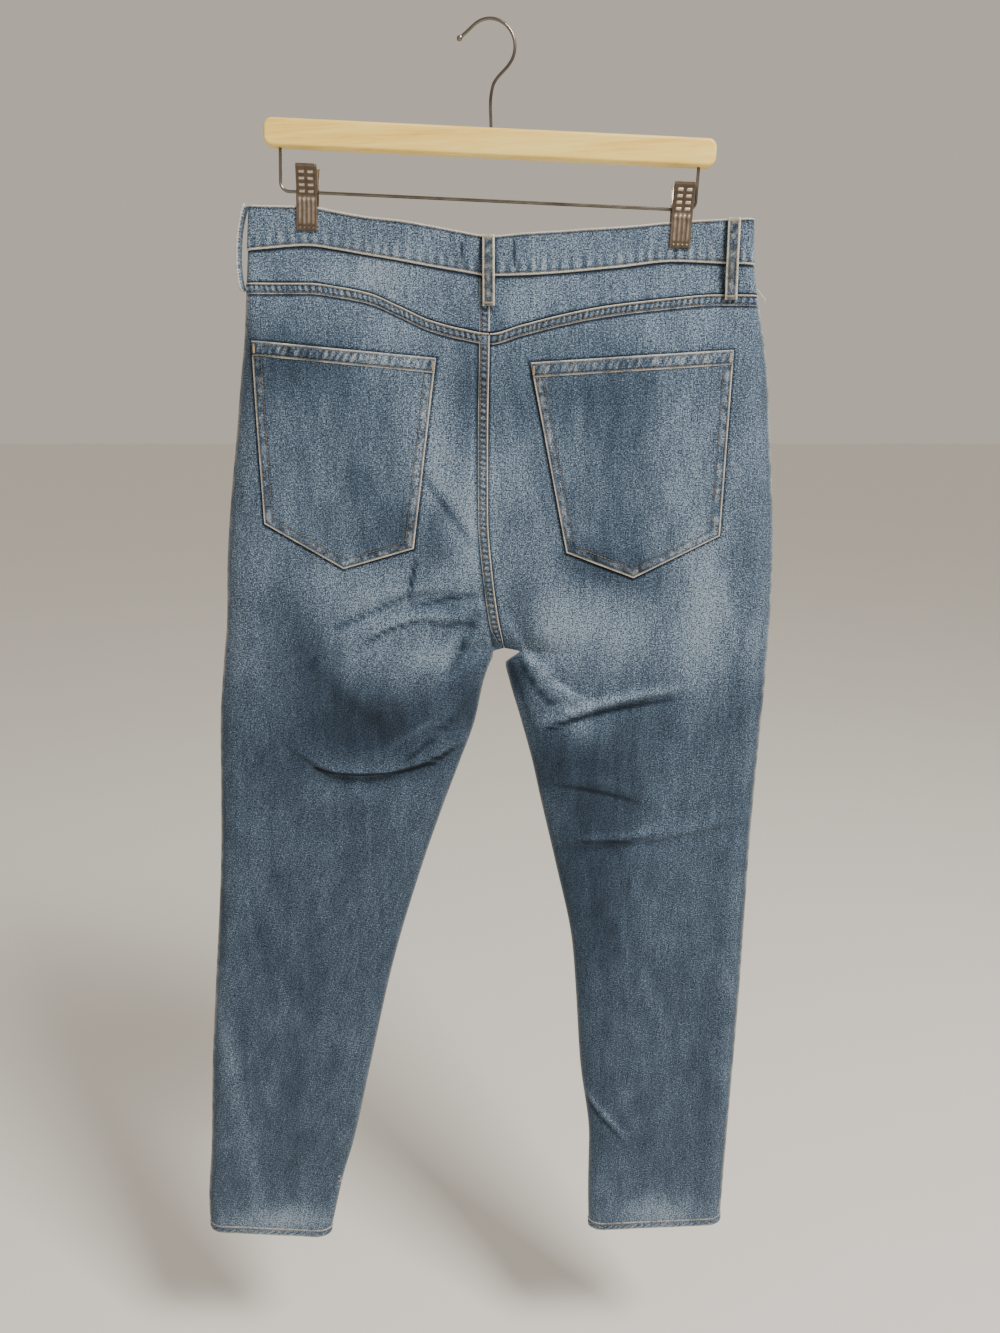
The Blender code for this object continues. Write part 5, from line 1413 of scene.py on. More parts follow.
def loop_tone(face, across, height, place, beside):
    """Tone and wear of a belt loop: greyer than the cloth, with cream edges and a ridge between."""
    rows = bell(np.abs(beside) - LOOP_ROW, 0.7)
    slub = value_noise(beside, place * 60.0, 2.0, 2.6, 101)
    rubbed = 0.5 + 0.5 * value_noise(beside, place * 60.0, 3.0, 3.4, 103)
    tone = tone_with_painted_light(face, across, height) - 0.26 + 0.20 * slub - 0.34 * rows
    wear = 0.30 * rubbed ** 2
    wear = wear + (0.75 + 0.4 * rubbed) * bell(np.abs(beside) - 0.5 * LOOP_WIDTH, 1.55, 4)
    wear = wear + 0.6 * rubbed * bell(np.minimum(place, 1 - place), 0.03)
    return tone, wear, rows


def flat_loop(loop, material):
    """Belt loop that lies on the waistband, bowed out between its two sewn ends."""
    beside = (graded((*LOOP_STEPS, 0.18), 1.0, 13) - 0.5) * LOOP_WIDTH
    place = graded(LOOP_END_STEPS, 1.0, 40)[:, None]
    place, beside = np.broadcast_arrays(place, beside)
    across = loop.across + beside
    height = loop.top + (loop.bottom - loop.top) * place
    lift = loop_lift(place)
    tone, wear, rows = loop_tone(loop.face, across, height, place, beside)
    outside = lift + LOOP_THICKNESS - 0.12 * rows - 0.25 * (np.abs(beside) / 5.0) ** 4
    rounds = (0.9, 0.9, 0.8, 0.8)
    name = loop.name + "_cloth"
    cloth = Cloth(name, loop_side(loop), loop.face, across, height, lift, outside, rounds, tone, wear)
    return sew(cloth, loop.name, material)


def side_loop(material):
    """Belt loop at the left side seam, standing off the folded edge of the waistband."""
    beside = (graded((*LOOP_STEPS, 0.2), 1.0, 9) - 0.5) * LOOP_WIDTH
    place = graded(LOOP_END_STEPS, 1.0, 44)[:, None]
    place, beside = np.broadcast_arrays(place, beside)
    height = SIDE_LOOP_TOP + (SIDE_LOOP_BOTTOM - SIDE_LOOP_TOP) * place
    clear = BAND_PROUD + LOOP_CLEAR + (SIDE_LOOP_BULGE - LOOP_CLEAR) * np.sin(np.pi * place) ** 0.6
    inner = np.stack((outer_edge(LEFT, height) - clear, beside, height), axis=-1)
    normal = lattice_normals(BACK, inner)
    if np.sum(normal[..., 0]) > 0:
        normal = -normal
    from_top, from_bottom = run_lengths(inner, 0)
    from_first, from_last = run_lengths(inner, 1)
    k = quarter_round(from_top, 0.9) * quarter_round(from_bottom, 0.9)
    k = k * quarter_round(from_first, 0.8) * quarter_round(from_last, 0.8)
    half = 0.5 * LOOP_THICKNESS
    tone, _, rows = loop_tone(BACK, inner[..., 0], height, place, beside)
    tone = tone + 0.30
    roped = SIDE_LOOP_ROPE * bell(np.abs(beside) - 4.0, 1.3)
    centre = inner + normal * half
    outer_face = centre + normal * (k * (half - 0.1 * rows + roped))[..., None]
    inner_face = centre - normal * (k * (half + roped))[..., None]
    where = np.stack((beside - 200.0, height), axis=-1)
    name = "belt_loop_left_side"
    wear = np.ones(k.shape)
    piece = lattice_object(name + "_cloth", outer_face, inner_face, where, tone, wear, material)
    return dress(piece, name)


# Stitches. A row is a line of (across, height) points on a face, with how far its cloth stands out.
Row = namedtuple("Row", "side face across height lift")


def resample(across, height, pitch):
    """Points along a line at every `pitch` of its length, from its first point."""
    run = line_run(across, height)
    count = max(2, int(run[-1] / pitch) + 1)
    at = np.arange(count) * pitch
    return np.interp(at, run, across), np.interp(at, run, height)


def face_point(side, face, across, height, lift):
    """Point on the dressed face, moved out along the face's own normal, and that normal."""
    step = 0.35
    depth = face_depth(side, face, across, height)
    rise_x = face_depth(side, face, across + step, height) - face_depth(side, face, across - step, height)
    rise_z = face_depth(side, face, across, height + step) - face_depth(side, face, across, height - step)
    outward = np.full(across.shape, float(face))
    normal = unit(np.stack((-rise_x / (2 * step), outward, -rise_z / (2 * step)), axis=-1))
    point = np.stack((across, face * depth, height), axis=-1)
    return point + normal * np.broadcast_to(lift, across.shape)[..., None], normal


def row_stitches(row):
    """Start points, end points and normals of the stitches along a row."""
    across, height = resample(row.across, row.height, STITCH_PITCH)
    lift = np.interp(np.linspace(0, 1, len(across)), np.linspace(0, 1, len(row.lift)), row.lift)
    points, normal = face_point(row.side, row.face, across, height, lift)
    start = points[:-1]
    end = start + unit(np.diff(points, axis=0)) * STITCH_LENGTH
    return start, end, normal[:-1]


def tack_stitches(side, face, across, height, lift, length, lean):
    """Bar tack: close parallel stitches across a short bar, whose long way leans from level."""
    count = int(length / TACK_PITCH)
    place = (np.arange(count) - 0.5 * (count - 1)) * TACK_PITCH
    x = across + place * math.cos(lean)
    z = height + place * math.sin(lean)
    points, normal = face_point(side, face, x, z, lift)
    reach = np.array((-math.sin(lean), 0.0, math.cos(lean))) * TACK_HALF_WIDTH
    return points - reach, points + reach, normal


def thread_object(name, stitches, radius, rise, material):
    """Stitches as small closed bodies: five rings of six sides, sunk at the ends, proud between."""
    start, end, normal = (np.concatenate(parts) for parts in zip(*stitches))
    run = end - start
    across = unit(np.cross(run, normal))
    share = np.array((0.0, 0.14, 0.5, 0.86, 1.0))
    width = np.array((0.35, 0.88, 1.0, 0.88, 0.35)) * radius
    lift = np.array((-1.0, 0.1, 1.0, 0.1, -1.0)) * rise
    count = 6
    turn = np.arange(count) * 2 * math.pi / count
    ring = across[:, None, None] * np.cos(turn)[:, None] + normal[:, None, None] * np.sin(turn)[:, None]
    spine = start[:, None] + run[:, None] * share[:, None] + normal[:, None] * lift[:, None]
    points = spine[:, :, None] + ring * width[:, None, None]
    size = len(share) * count
    base = (np.arange(len(start)) * size)[:, None]
    sides = []
    for level in range(0, size - count, count):
        for k in range(count):
            n = (k + 1) % count
            sides.append((level + k, level + n, level + count + n, level + count + k))
    caps = [range(count - 1, -1, -1), range(size - count, size)]
    faces = (base[:, :, None] + np.array(sides)[None]).reshape(-1, 4).tolist()
    faces += (base[:, :, None] + np.array(caps)[None]).reshape(-1, count).tolist()
    mesh = bpy.data.meshes.new(name)
    mesh.from_pydata((points.reshape(-1, 3) * MM).tolist(), [], faces)
    mesh.materials.append(material)
    mesh.shade_smooth()
    return dress(add_object(name, mesh), None)


def plain_row(face, across, height, lift, side=LEFT):
    """A row of stitches whose cloth stands out by one constant lift."""
    return Row(side, face, np.asarray(across, float), np.asarray(height, float), np.full(2, lift))


def inset_line(start, end, inset, trim_start, trim_end):
    """A straight line moved to its left by `inset`, and shortened at its two ends."""
    start = np.array(start)
    end = np.array(end)
    run = unit(end - start)
    left = np.array((-run[1], run[0]))
    first = start + left * inset + run * trim_start
    last = end + left * inset - run * trim_end
    share = np.linspace(0.0, 1.0, 60)
    return first[0] + (last[0] - first[0]) * share, first[1] + (last[1] - first[1]) * share


def pocket_rows(side):
    """Two rows round a pocket's sewn edges and two along its hem."""
    pocket = BACK_POCKETS[side]
    corners = pocket_outline(pocket)
    lift = POCKET_LIFT + POCKET_DENIM - 0.2
    rows = []
    for inset in POCKET_ROWS:
        for index, (a, b) in enumerate(zip(corners[:-1], corners[1:])):
            first = POCKET_HEM + 0.6 if index == 0 else 0.7 * inset
            last = POCKET_HEM + 0.6 if index == 3 else 0.7 * inset
            across, height = inset_line(a, b, inset, first, last)
            rows.append(plain_row(BACK, across, height, lift, side))
    for down in POCKET_HEM_ROWS:
        across, height = inset_line(pocket.top_right, pocket.top_left, down, 2.0, 2.0)
        rows.append(plain_row(BACK, across, height, lift + POCKET_HEM_RISE, side))
    return rows


def fell_rows(across, height, width, side):
    """Two rows along a felled seam whose first edge is given, `width` mm wide to below or left."""
    run_x = np.gradient(across)
    run_z = np.gradient(height)
    length = np.hypot(run_x, run_z)
    rows = []
    for inset in (STITCH_FROM_EDGE, width - STITCH_FROM_EDGE):
        x = across + inset * (run_z / length)
        z = height - inset * (run_x / length)
        rows.append(plain_row(BACK, x, z, FELL_LIFT + 0.45, side))
    return rows


def back_rows():
    """All rows of stitches on the back: fells, waistband, hems and pockets."""
    rows = []
    for side in (LEFT, RIGHT):
        ends = sorted((side * 5.0, outer_edge(side, YOKE_SEAM_OUTER) - side * 5.0))
        across = np.linspace(*ends, 200)
        rows += fell_rows(across, back_yoke_line(across), FELLED_WIDTH, side)
        rows += pocket_rows(side)
    height = np.linspace(*CENTRE_ROW_ENDS, 260)
    rows += fell_rows(inner_edge(LEFT, height), height, CENTRE_FELL, LEFT)
    across = np.linspace(*BAND_ROW_ENDS, 300)
    top = through(BACK_LINES, "across", "band_top", across)
    seam = back_band_line(across)
    rows.append(plain_row(BACK, across, top - BAND_STITCH_DOWN, BAND_PROUD - STITCH_IN_CLOTH))
    rows.append(plain_row(BACK, across, seam + BAND_STITCH_UP, BAND_PROUD - STITCH_IN_CLOTH))
    for loop in LOOPS[:2]:
        rows += loop_rows(loop)
    return rows + hem_rows(BACK)


def hem_rows(face):
    """The row of stitches along each hem of one face."""
    rows = []
    for side in (LEFT, RIGHT):
        inner = inner_edge(side, HEM_ROW_HEIGHT)
        outer = outer_edge(side, HEM_ROW_HEIGHT)
        across = np.linspace(*sorted((inner + side * 2.5, outer - side * 2.5)), 160)
        rows.append(plain_row(face, across, hem_line(side, across) + HEM_STITCH_UP, 0.6, side))
    return rows


def loop_rows(loop):
    """Two rows down a belt loop."""
    place = np.linspace(0.03, 0.97, 40)
    height = loop.top + (loop.bottom - loop.top) * place
    lift = loop_lift(place) + LOOP_THICKNESS - 0.2
    rows = []
    for beside in (-LOOP_ROW, LOOP_ROW):
        rows.append(Row(loop_side(loop), loop.face, np.full(40, loop.across + beside), height, lift))
    return rows


def front_rows():
    """All rows of stitches on the front: pocket mouths, waistband, fly and hems."""
    rows = []
    for side in (LEFT, RIGHT):
        edge = outer_edge(side, CLIP_HEIGHT)
        seam = front_band_line(edge)
        turn = np.linspace(0.06, 0.5 * math.pi - 0.12, 60)
        for margin in MOUTH_ROWS:
            height = seam - (MOUTH_DROP + margin) * np.sin(turn)
            across = outer_edge(side, height) - side * (MOUTH_WIDTH + margin) * np.cos(turn)
            rows.append(plain_row(FRONT, across, height, -STITCH_IN_CLOTH, side))
    across = np.linspace(*BAND_ROW_ENDS, 300)
    top = through(FRONT_LINES, "across", "band_top", across)
    lift = lapped_lift(across) * (across < BAND_OVERLAP) + BAND_PROUD - STITCH_IN_CLOTH
    rows.append(Row(LEFT, FRONT, across, top - BAND_STITCH_DOWN, lift))
    rows.append(Row(LEFT, FRONT, across, front_band_line(across) + BAND_STITCH_UP, lift))
    edge = -0.5 * SEAM_GAP - FLY_INSET
    for inset in FLY_ROWS:
        turns = np.linspace(0.0, 1.35, 30)
        width = FLY_WIDTH - inset
        bend = FLY_CURVE - inset
        down = np.linspace(-207.0, FLY_BOTTOM + FLY_CURVE, 60)
        x = np.concatenate((np.full(60, edge - width), edge - width * np.cos(turns)))
        z = np.concatenate((down, FLY_BOTTOM + inset + bend * (1 - np.sin(turns))))
        rows.append(plain_row(FRONT, x, z, FLY_LIFT + FLY_DENIM - STITCH_IN_CLOTH))
    down = np.linspace(*FRONT_SEAM_ENDS, 80)
    for beside in FRONT_SEAM_ROWS:
        rows.append(plain_row(FRONT, inner_edge(LEFT, down) - beside, down, -STITCH_IN_CLOTH))
    for loop in LOOPS[2:]:
        rows += loop_rows(loop)
    return rows + hem_rows(FRONT)


def bar_tacks():
    """Bar tacks at the ends of the belt loops, the pocket corners, the mouths and the fly."""
    tacks = []
    upright = 0.5 * math.pi
    for loop in LOOPS:
        lift = BAND_PROUD + LOOP_CLEAR + LOOP_THICKNESS + 0.45
        place = (loop_side(loop), loop.face, loop.across)
        for height in (loop.top - LOOP_TACK_IN, loop.bottom + LOOP_TACK_IN):
            tacks.append(tack_stitches(*place, height, lift, LOOP_TACK_LENGTH, 0.0))
    for side in (LEFT, RIGHT):
        pocket = BACK_POCKETS[side]
        lift = POCKET_LIFT + POCKET_DENIM + 0.72
        for corner, inward in ((pocket.top_left, 1), (pocket.top_right, -1)):
            x = corner[0] + inward * POCKET_TACK_IN
            z = corner[1] - POCKET_TACK_DOWN
            tacks.append(tack_stitches(side, BACK, x, z, lift, TACK_LENGTH, upright))
        x = outer_edge(side, MOUTH_TACK_EDGE) - side * MOUTH_TACK_IN
        tacks.append(tack_stitches(side, FRONT, x, MOUTH_TACK_HEIGHT, 0.15, TACK_LENGTH, upright))
    lift = FLY_LIFT + FLY_DENIM + 0.15
    tacks.append(tack_stitches(LEFT, FRONT, -8.0, FLY_BOTTOM + 6.0, lift, TACK_LENGTH, 0.3))
    return tacks


def loose_fibres():
    """White fibres of the nick beside the left hem."""
    draw = np.random.default_rng(7)
    near = 26
    spread = 20
    count = near + spread
    x = np.append(NICK[0] + draw.uniform(-3.5, 3.5, near), NICK[0] - 3.0 - draw.uniform(0.0, 8.0, spread))
    z = np.append(NICK[1] + draw.uniform(-7.0, 7.0, near), NICK[1] - draw.uniform(-8.0, 8.0, spread))
    start = np.stack((x, -3.0 - draw.uniform(0.0, 4.0, count), z), axis=-1)
    angle = draw.uniform(-0.9, 0.9, count)
    length = draw.uniform(2.2, 6.0, count)
    away = -draw.uniform(0.0, 1.6, count)
    reach = np.stack((np.cos(angle) * length, away, np.sin(angle) * length), axis=-1)
    normal = np.tile((0.0, -1.0, 0.0), (count, 1))
    return [(start, start + reach, normal)]


THREAD_END = (
    (211.0, -1.5, -193.0), (214.5, -2.5, -196.5), (219.0, -3.0, -198.0), (224.0, -2.5, -202.5),
    (227.0, -2.0, -206.0), (226.5, -1.5, -208.0),
)


def loose_thread(material):
    """Thread end that curls out of the right side seam under the belt loop."""
    path = smooth_path(THREAD_END, 40)
    piece = tube_object("loose_thread", path, np.full(40, 0.28), 6, material)
    return dress(piece, None)


# Hanger and clips
def ring_quads(rows, sides):
    """Vertex numbers of a tube's rings, and the quads between them."""
    index = np.arange(rows * sides).reshape(rows, sides)
    return index, grid_quads(np.hstack((index, index[:, :1]))).tolist()


def fans(index):
    """Triangles that close a tube's two ends onto the two points that follow its rings."""
    faces = []
    for k, n in zip(range(index.shape[1]), np.roll(index[0], -1).tolist()):
        faces.append((index.size, k, n))
        faces.append((index.size + 1, index[-1, n], index[-1, k]))
    return faces


def tube_object(name, path, radii, sides, material):
    """Round tube along a path with its own radius at each point, closed at both ends."""
    tangent = unit(np.gradient(path, axis=0))
    beside = np.cross(tangent, (0.0, 1.0, 0.0))
    length = np.linalg.norm(beside, axis=1, keepdims=True)
    beside = np.where(length > 1e-6, beside / np.maximum(length, 1e-9), (1.0, 0.0, 0.0))
    other = np.cross(beside, tangent)
    turn = np.linspace(0.0, 2 * np.pi, sides, endpoint=False)[:, None]
    ring = beside[:, None] * np.cos(turn) + other[:, None] * np.sin(turn)
    points = path[:, None] + ring * radii[:, None, None]
    index, faces = ring_quads(len(path), sides)
    ends = np.stack((path[0] - tangent[0] * radii[0] * 0.4, path[-1] + tangent[-1] * radii[-1] * 0.4))
    points = np.concatenate((points.reshape(-1, 3), ends))
    return solid_object(name, points, faces + fans(index), material)


def solid_object(name, points, faces, material):
    """Smooth closed mesh whose faces are turned outwards by the sign of its volume."""
    mesh = bpy.data.meshes.new(name)
    mesh.from_pydata((np.asarray(points) * MM).tolist(), [], faces)
    mesh.materials.append(material)
    mesh.shade_smooth()
    corners = np.array([tuple(mesh.vertices[i].co) for i in triangle_corners(mesh)]).reshape(-1, 3, 3)
    volume = np.sum(np.cross(corners[:, 0], corners[:, 1]) * corners[:, 2])
    if volume < 0:
        mesh.flip_normals()
    return add_object(name, mesh)


def triangle_corners(mesh):
    """Vertex numbers of a mesh's triangles, three after three."""
    mesh.calc_loop_triangles()
    corners = np.empty(len(mesh.loop_triangles) * 3, np.int32)
    mesh.loop_triangles.foreach_get("vertices", corners)
    return corners


def smooth_path(points, count):
    """Curve of `count` points through the given ones, with tangents from their neighbours."""
    points = np.asarray(points, float)
    run = path_run(points)
    tangent = np.gradient(points, run, axis=0)
    at = np.linspace(0.0, run[-1], count)
    k = np.clip(np.searchsorted(run, at, side="right") - 1, 0, len(run) - 2)
    gap = (run[k + 1] - run[k])[:, None]
    t = ((at - run[k])[:, None]) / gap
    rise = t * t * (3 - 2 * t)
    curve = points[k] + (points[k + 1] - points[k]) * rise
    return curve + t * (1 - t) ** 2 * gap * tangent[k] + t * t * (t - 1) * gap * tangent[k + 1]


def hook(material):
    """Steel hook with a small ball on its tip."""
    path = smooth_path(hook_path(), 120)
    run = path_run(path)
    to_tip = run[-1] - run
    half_ball = 0.5 * HOOK_BALL_LENGTH
    ball = 1.15 * np.sqrt(np.maximum(0.0, 1 - ((to_tip - half_ball) / half_ball) ** 2))
    radii = HOOK_WIRE_RADIUS * np.where(to_tip < HOOK_BALL_LENGTH, np.maximum(1.0, 0.6 + ball), 1.0)
    radii[-1] = 0.7 * HOOK_WIRE_RADIUS
    return dress(tube_object("hanger_hook_wire", path, radii, 18, material), "hanger_hook")


def clip_wire(material):
    """Steel wire under the bar, with a round corner at each end."""
    top_v = -BAR_HEIGHT - SEAM_GAP
    route = [(-WIRE_DROP_U, v) for v in np.linspace(top_v, WIRE_V + WIRE_CORNER, 8)[:-1]]
    for turn in np.linspace(0.0, 0.5 * math.pi, 14):
        u = -WIRE_DROP_U + WIRE_CORNER * (1 - math.cos(turn))
        route.append((u, WIRE_V + WIRE_CORNER * (1 - math.sin(turn))))
    route += [(u, WIRE_V) for u in np.linspace(-WIRE_DROP_U + WIRE_CORNER, 0.0, 30)[1:]]
    route += [(-u, v) for u, v in reversed(route[:-1])]
    path = np.array([hanger_point(u, 0.0, v) for u, v in route])
    radii = np.full(len(path), WIRE_RADIUS)
    return dress(tube_object("hanger_wire_round", path, radii, 16, material), "hanger_wire")


def bar(material):
    """Wooden bar: a rounded board, its outline carried round a softened edge.

    The outline is a rectangle with quarter circles at its corners. The edge between face and rim is
    a quarter circle, over which the outline shrinks by r (1 - sin a) while y runs out by r (1 - cos a).
    """
    half_length = 0.5 * BAR_LENGTH
    half_height = 0.5 * BAR_HEIGHT
    centres = []
    ways = []
    quarter = np.linspace(0.0, 0.5 * math.pi, 14)
    for start, u, v in ((0, 1, 1), (1, -1, 1), (2, -1, -1), (3, 1, -1)):
        angle = quarter + start * 0.5 * math.pi
        centre = (u * (half_length - BAR_END_ROUND), v * (half_height - BAR_END_ROUND))
        centres.append(np.tile(centre, (len(angle), 1)))
        ways.append(np.stack((np.cos(angle), np.sin(angle)), axis=-1))
    edge = np.linspace(0.0, 0.5 * math.pi, 7)
    rise = BAR_EDGE_ROUND * (1 - np.sin(edge))
    run = BAR_EDGE_ROUND * (1 - np.cos(edge))
    inner_ring = rise[:1] + 1.0
    shrink = np.concatenate((inner_ring, rise, run, inner_ring))
    back = -0.5 * BAR_DEPTH + run
    front = 0.5 * BAR_DEPTH - rise
    y = np.concatenate((back[:1], back, front, front[-1:]))
    outline = np.concatenate(centres) + np.concatenate(ways) * (BAR_END_ROUND - shrink)[:, None, None]
    x, z = hanger_plane(outline[..., 0], outline[..., 1] - half_height)
    points = np.stack((x, np.broadcast_to(y[:, None], x.shape), z), axis=-1)
    index, faces = ring_quads(*x.shape)
    faces += [index[0].tolist(), index[-1, ::-1].tolist()]
    piece = solid_object("hanger_bar_board", points.reshape(-1, 3), faces, material)
    return dress(piece, "hanger_bar")


def bump(at, low, high, soft):
    """1 between low and high, 0 outside, with a smooth rise `soft` wide inside each end."""
    return smooth_step(low, low + soft, at) * (1 - smooth_step(high - soft, high, at))


def jaw_relief(u, v):
    """Pressed pattern of a jaw: raised bars above, ribs with round tops below, rims and a seam."""
    half = 0.5 * CLIP_WIDTH
    height = CLIP_TOP_V - v
    whole = CLIP_TOP_V - CLIP_BOTTOM_V
    relief = np.zeros(u.shape)
    for top in JAW_BAR_PITCH * np.arange(1, 5):
        for low, high in ((-half + 2.2, -0.7), (0.7, half - 2.2)):
            relief += 0.85 * bump(u, low, high, 1.3) * bump(height, top, top + JAW_BAR_HEIGHT, 1.2)
    rib_top = 0.50 * whole
    rib_foot = whole - 4.2
    rib_centres = np.linspace(JAW_RIB_INSET - half, half - JAW_RIB_INSET, 4)
    for centre in rib_centres:
        across = bell(u - centre, 1.15)
        head = bell(np.hypot(u - centre, height - rib_top), 1.7)
        relief += 0.55 * across * bump(height, rib_top - 0.5, rib_foot, 1.6) + 0.55 * head
    rim = smooth_step(half - 1.7, half - 0.9, np.abs(u))
    relief = relief * (1 - rim) + 0.30 * rim
    relief += 0.25 * bump(height, -1.5, 2.6, 1.0)
    for centre in rib_centres:
        relief += 0.5 * bell(np.hypot(u - centre, height - whole + 2.2), 0.7)
    return relief


def jaw(name, centre_u, face, material):
    """Pressed steel jaw: a plate on the waistband, bent out above the wire, with turned-in sides."""
    half = 0.5 * CLIP_WIDTH
    u = graded(JAW_SIDE_STEPS, CLIP_WIDTH, 42) - half
    v = CLIP_TOP_V - graded(JAW_END_STEPS, CLIP_TOP_V - CLIP_BOTTOM_V, 118)[:, None]
    across, along = np.broadcast_arrays(u, v)
    depth = through(JAW_PROFILE, "v", "inner_depth", along)
    turned = smooth_step(half - 1.6, half, np.abs(across)) ** 1.5
    fall = np.clip(depth - depth[-1, 0] + 0.3, 0.3, 2.0) * turned
    relief = jaw_relief(across, along)
    outside = depth + CLIP_SHEET - fall + 0.7 * relief
    inside = depth - fall
    border = np.minimum(half - np.abs(across), np.minimum(CLIP_TOP_V - along, along - CLIP_BOTTOM_V))
    k = quarter_round(border, 0.5)
    middle = depth + 0.5 * CLIP_SHEET - fall
    x, z = hanger_plane(centre_u + across, along)
    lattices = []
    for level in (outside, inside):
        lattices.append(np.stack((x, face * (middle + k * (level - middle)), z), axis=-1))
    place = np.stack((across, along), axis=-1)
    wear = np.zeros(k.shape)
    # The relief goes in as tone: painted shade in the jaw's hollows and painted highlights on its ribs and
    # rims
    piece = lattice_object(name + "_pressed", *lattices, place, relief, wear, material)
    return dress(piece, name)


def spring(name, centre_u, material):
    """Coil spring round the wire: a helix of wire that carries the two jaws."""
    wire = SPRING_WIRE
    angle = np.linspace(0.0, 2 * np.pi * SPRING_TURNS, int(SPRING_TURNS * 20))
    u = centre_u + (angle / angle[-1] - 0.5) * (SPRING_LENGTH - 2 * wire)
    radius = SPRING_RADIUS - wire
    path = [hanger_point(a, radius * math.cos(b), WIRE_V + radius * math.sin(b)) for a, b in zip(u, angle)]
    path = np.array(path)
    tangent = unit(np.gradient(path, axis=0))
    outward = unit(path - np.array([hanger_point(a, 0.0, WIRE_V) for a in u]))
    other = np.cross(outward, tangent)
    sides = 8
    turn = np.linspace(0.0, 2 * np.pi, sides, endpoint=False)[:, None]
    points = path[:, None] + wire * (outward[:, None] * np.cos(turn) + other[:, None] * np.sin(turn))
    index, faces = ring_quads(len(path), sides)
    faces += [index[0].tolist(), index[-1, ::-1].tolist()]
    piece = solid_object(name + "_coil", points.reshape(-1, 3), faces, material)
    return dress(piece, name)


def button(material):
    """Shank button: a turned disc with a rim, a dished face and a small raised centre."""
    height = 0.5 * (through(FRONT_LINES, "across", "band_top", 0.0) + front_band_line(0.0))
    depth = depth_at(LEFT, FRONT, np.array([0.0]), np.array([height]))[0] + 0.5 * SEAM_GAP
    seat = depth + BAND_PROUD + BAND_THICKNESS + LAP_CLEAR + BUTTON_CLEAR
    sides = 48
    turn = np.linspace(0.0, 2 * np.pi, sides, endpoint=False)
    rings = []
    for share, level in BUTTON_PROFILE:
        r = share * BUTTON_RADIUS
        y = np.full(sides, seat + level * BUTTON_HEIGHT)
        rings.append(np.stack((r * np.cos(turn), y, height + r * np.sin(turn)), axis=-1))
    ends = [[0.0, seat, height], [0.0, seat + BUTTON_CENTRE * BUTTON_HEIGHT, height]]
    index, faces = ring_quads(len(rings), sides)
    points = np.concatenate(rings + [ends])
    return dress(solid_object("button_turned", points, faces + fans(index), material), "button")


# Materials. The stops are places along a ramp and their colours.
DENIM_STOPS = (
    (0.0, (0.0068, 0.0118, 0.0200)),
    (0.25, (0.0270, 0.0462, 0.0750)),
    (0.5, (0.0740, 0.1115, 0.1620)),
    (0.75, (0.1610, 0.2200, 0.3020)),
    (1.0, (0.3450, 0.4260, 0.5100)),
)
COTTON_STOPS = ((0.25, (0.36, 0.35, 0.31)), (0.7, (0.72, 0.71, 0.64)))
WOOD_STOPS = (
    (0.28, (0.60, 0.33, 0.05)),
    (0.45, (0.90, 0.60, 0.13)),
    (0.58, (0.96, 0.72, 0.20)),
    (0.75, (0.97, 0.81, 0.31)),
)
FLOOR_STOPS = ((0.0, (0.90, 0.88, 0.84)), (1.0, (0.93, 0.91, 0.87)))
STEEL_STOPS = ((0.25, (0.12, 0.105, 0.09)), (0.6, (0.22, 0.20, 0.17)), (0.9, (0.34, 0.31, 0.27)))
PRESSED_STOPS = ((0.0, (0.085, 0.063, 0.045)), (0.45, (0.23, 0.175, 0.128)), (1.0, (0.78, 0.71, 0.62)))

# Dark and pale colour of each thread
SEAM_THREAD = ((0.085, 0.062, 0.044), (0.30, 0.24, 0.175))
TACK_THREAD = ((0.20, 0.135, 0.065), (0.52, 0.42, 0.27))
BARE_COTTON = ((0.62, 0.60, 0.56), (0.84, 0.83, 0.80))


class Signal:
    """A value in a material's node tree. Sums, differences and products of it add Math nodes."""

    def __init__(self, tree, socket=None):
        self.tree = tree
        self.socket = socket

    def make(self, kind, output, settings, values):
        """Add any node: its settings first, then a number or a link for each named input."""
        node = self.tree.nodes.new(kind)
        for name, setting in settings.items():
            if name == "stops":
                self.set_stops(node.color_ramp.elements, setting)
            else:
                setattr(node, name, setting)
        for name, value in values.items():
            if isinstance(value, Signal):
                self.tree.links.new(value.socket, node.inputs[name])
            else:
                node.inputs[name].default_value = value
        return Signal(self.tree, node.outputs[output])

    @staticmethod
    def set_stops(elements, stops):
        """Give a colour ramp its stops, each a place and a colour."""
        while len(elements) < len(stops):
            elements.new(1.0)
        for element, (place, colour) in zip(elements, stops):
            element.position = place
            element.color = (*colour, 1.0)

    def maths(self, operation, first, second):
        """One Math node on two values."""
        return self.make("ShaderNodeMath", 0, {"operation": operation}, {0: first, 1: second})

    def __add__(self, other):
        return self.maths("ADD", self, other)

    def __sub__(self, other):
        return self.maths("SUBTRACT", self, other)

    def __rsub__(self, other):
        return self.maths("SUBTRACT", other, self)

    def __mul__(self, other):
        return self.maths("MULTIPLY", self, other)

    __radd__ = __add__
    __rmul__ = __mul__


def new_finish(name, roughness, metallic):
    """A material with its shader's plain values, and the signal that builds its nodes."""
    material = bpy.data.materials.new(name)
    material.use_nodes = True
    tree = material.node_tree
    shader = tree.nodes["Principled BSDF"]
    shader.inputs["Roughness"].default_value = roughness
    shader.inputs["Metallic"].default_value = metallic
    return material, shader, Signal(tree)


def noise(paint, place, scale, detail, roughness=0.55):
    """Noise from 0 to 1 on a place that is first stretched by a scale for each axis."""
    stretched = paint.make("ShaderNodeMapping", 0, {}, {"Vector": place, "Scale": scale})
    values = {"Vector": stretched, "Scale": 1.0, "Detail": detail, "Roughness": roughness}
    return paint.make("ShaderNodeTexNoise", 0, {}, values)


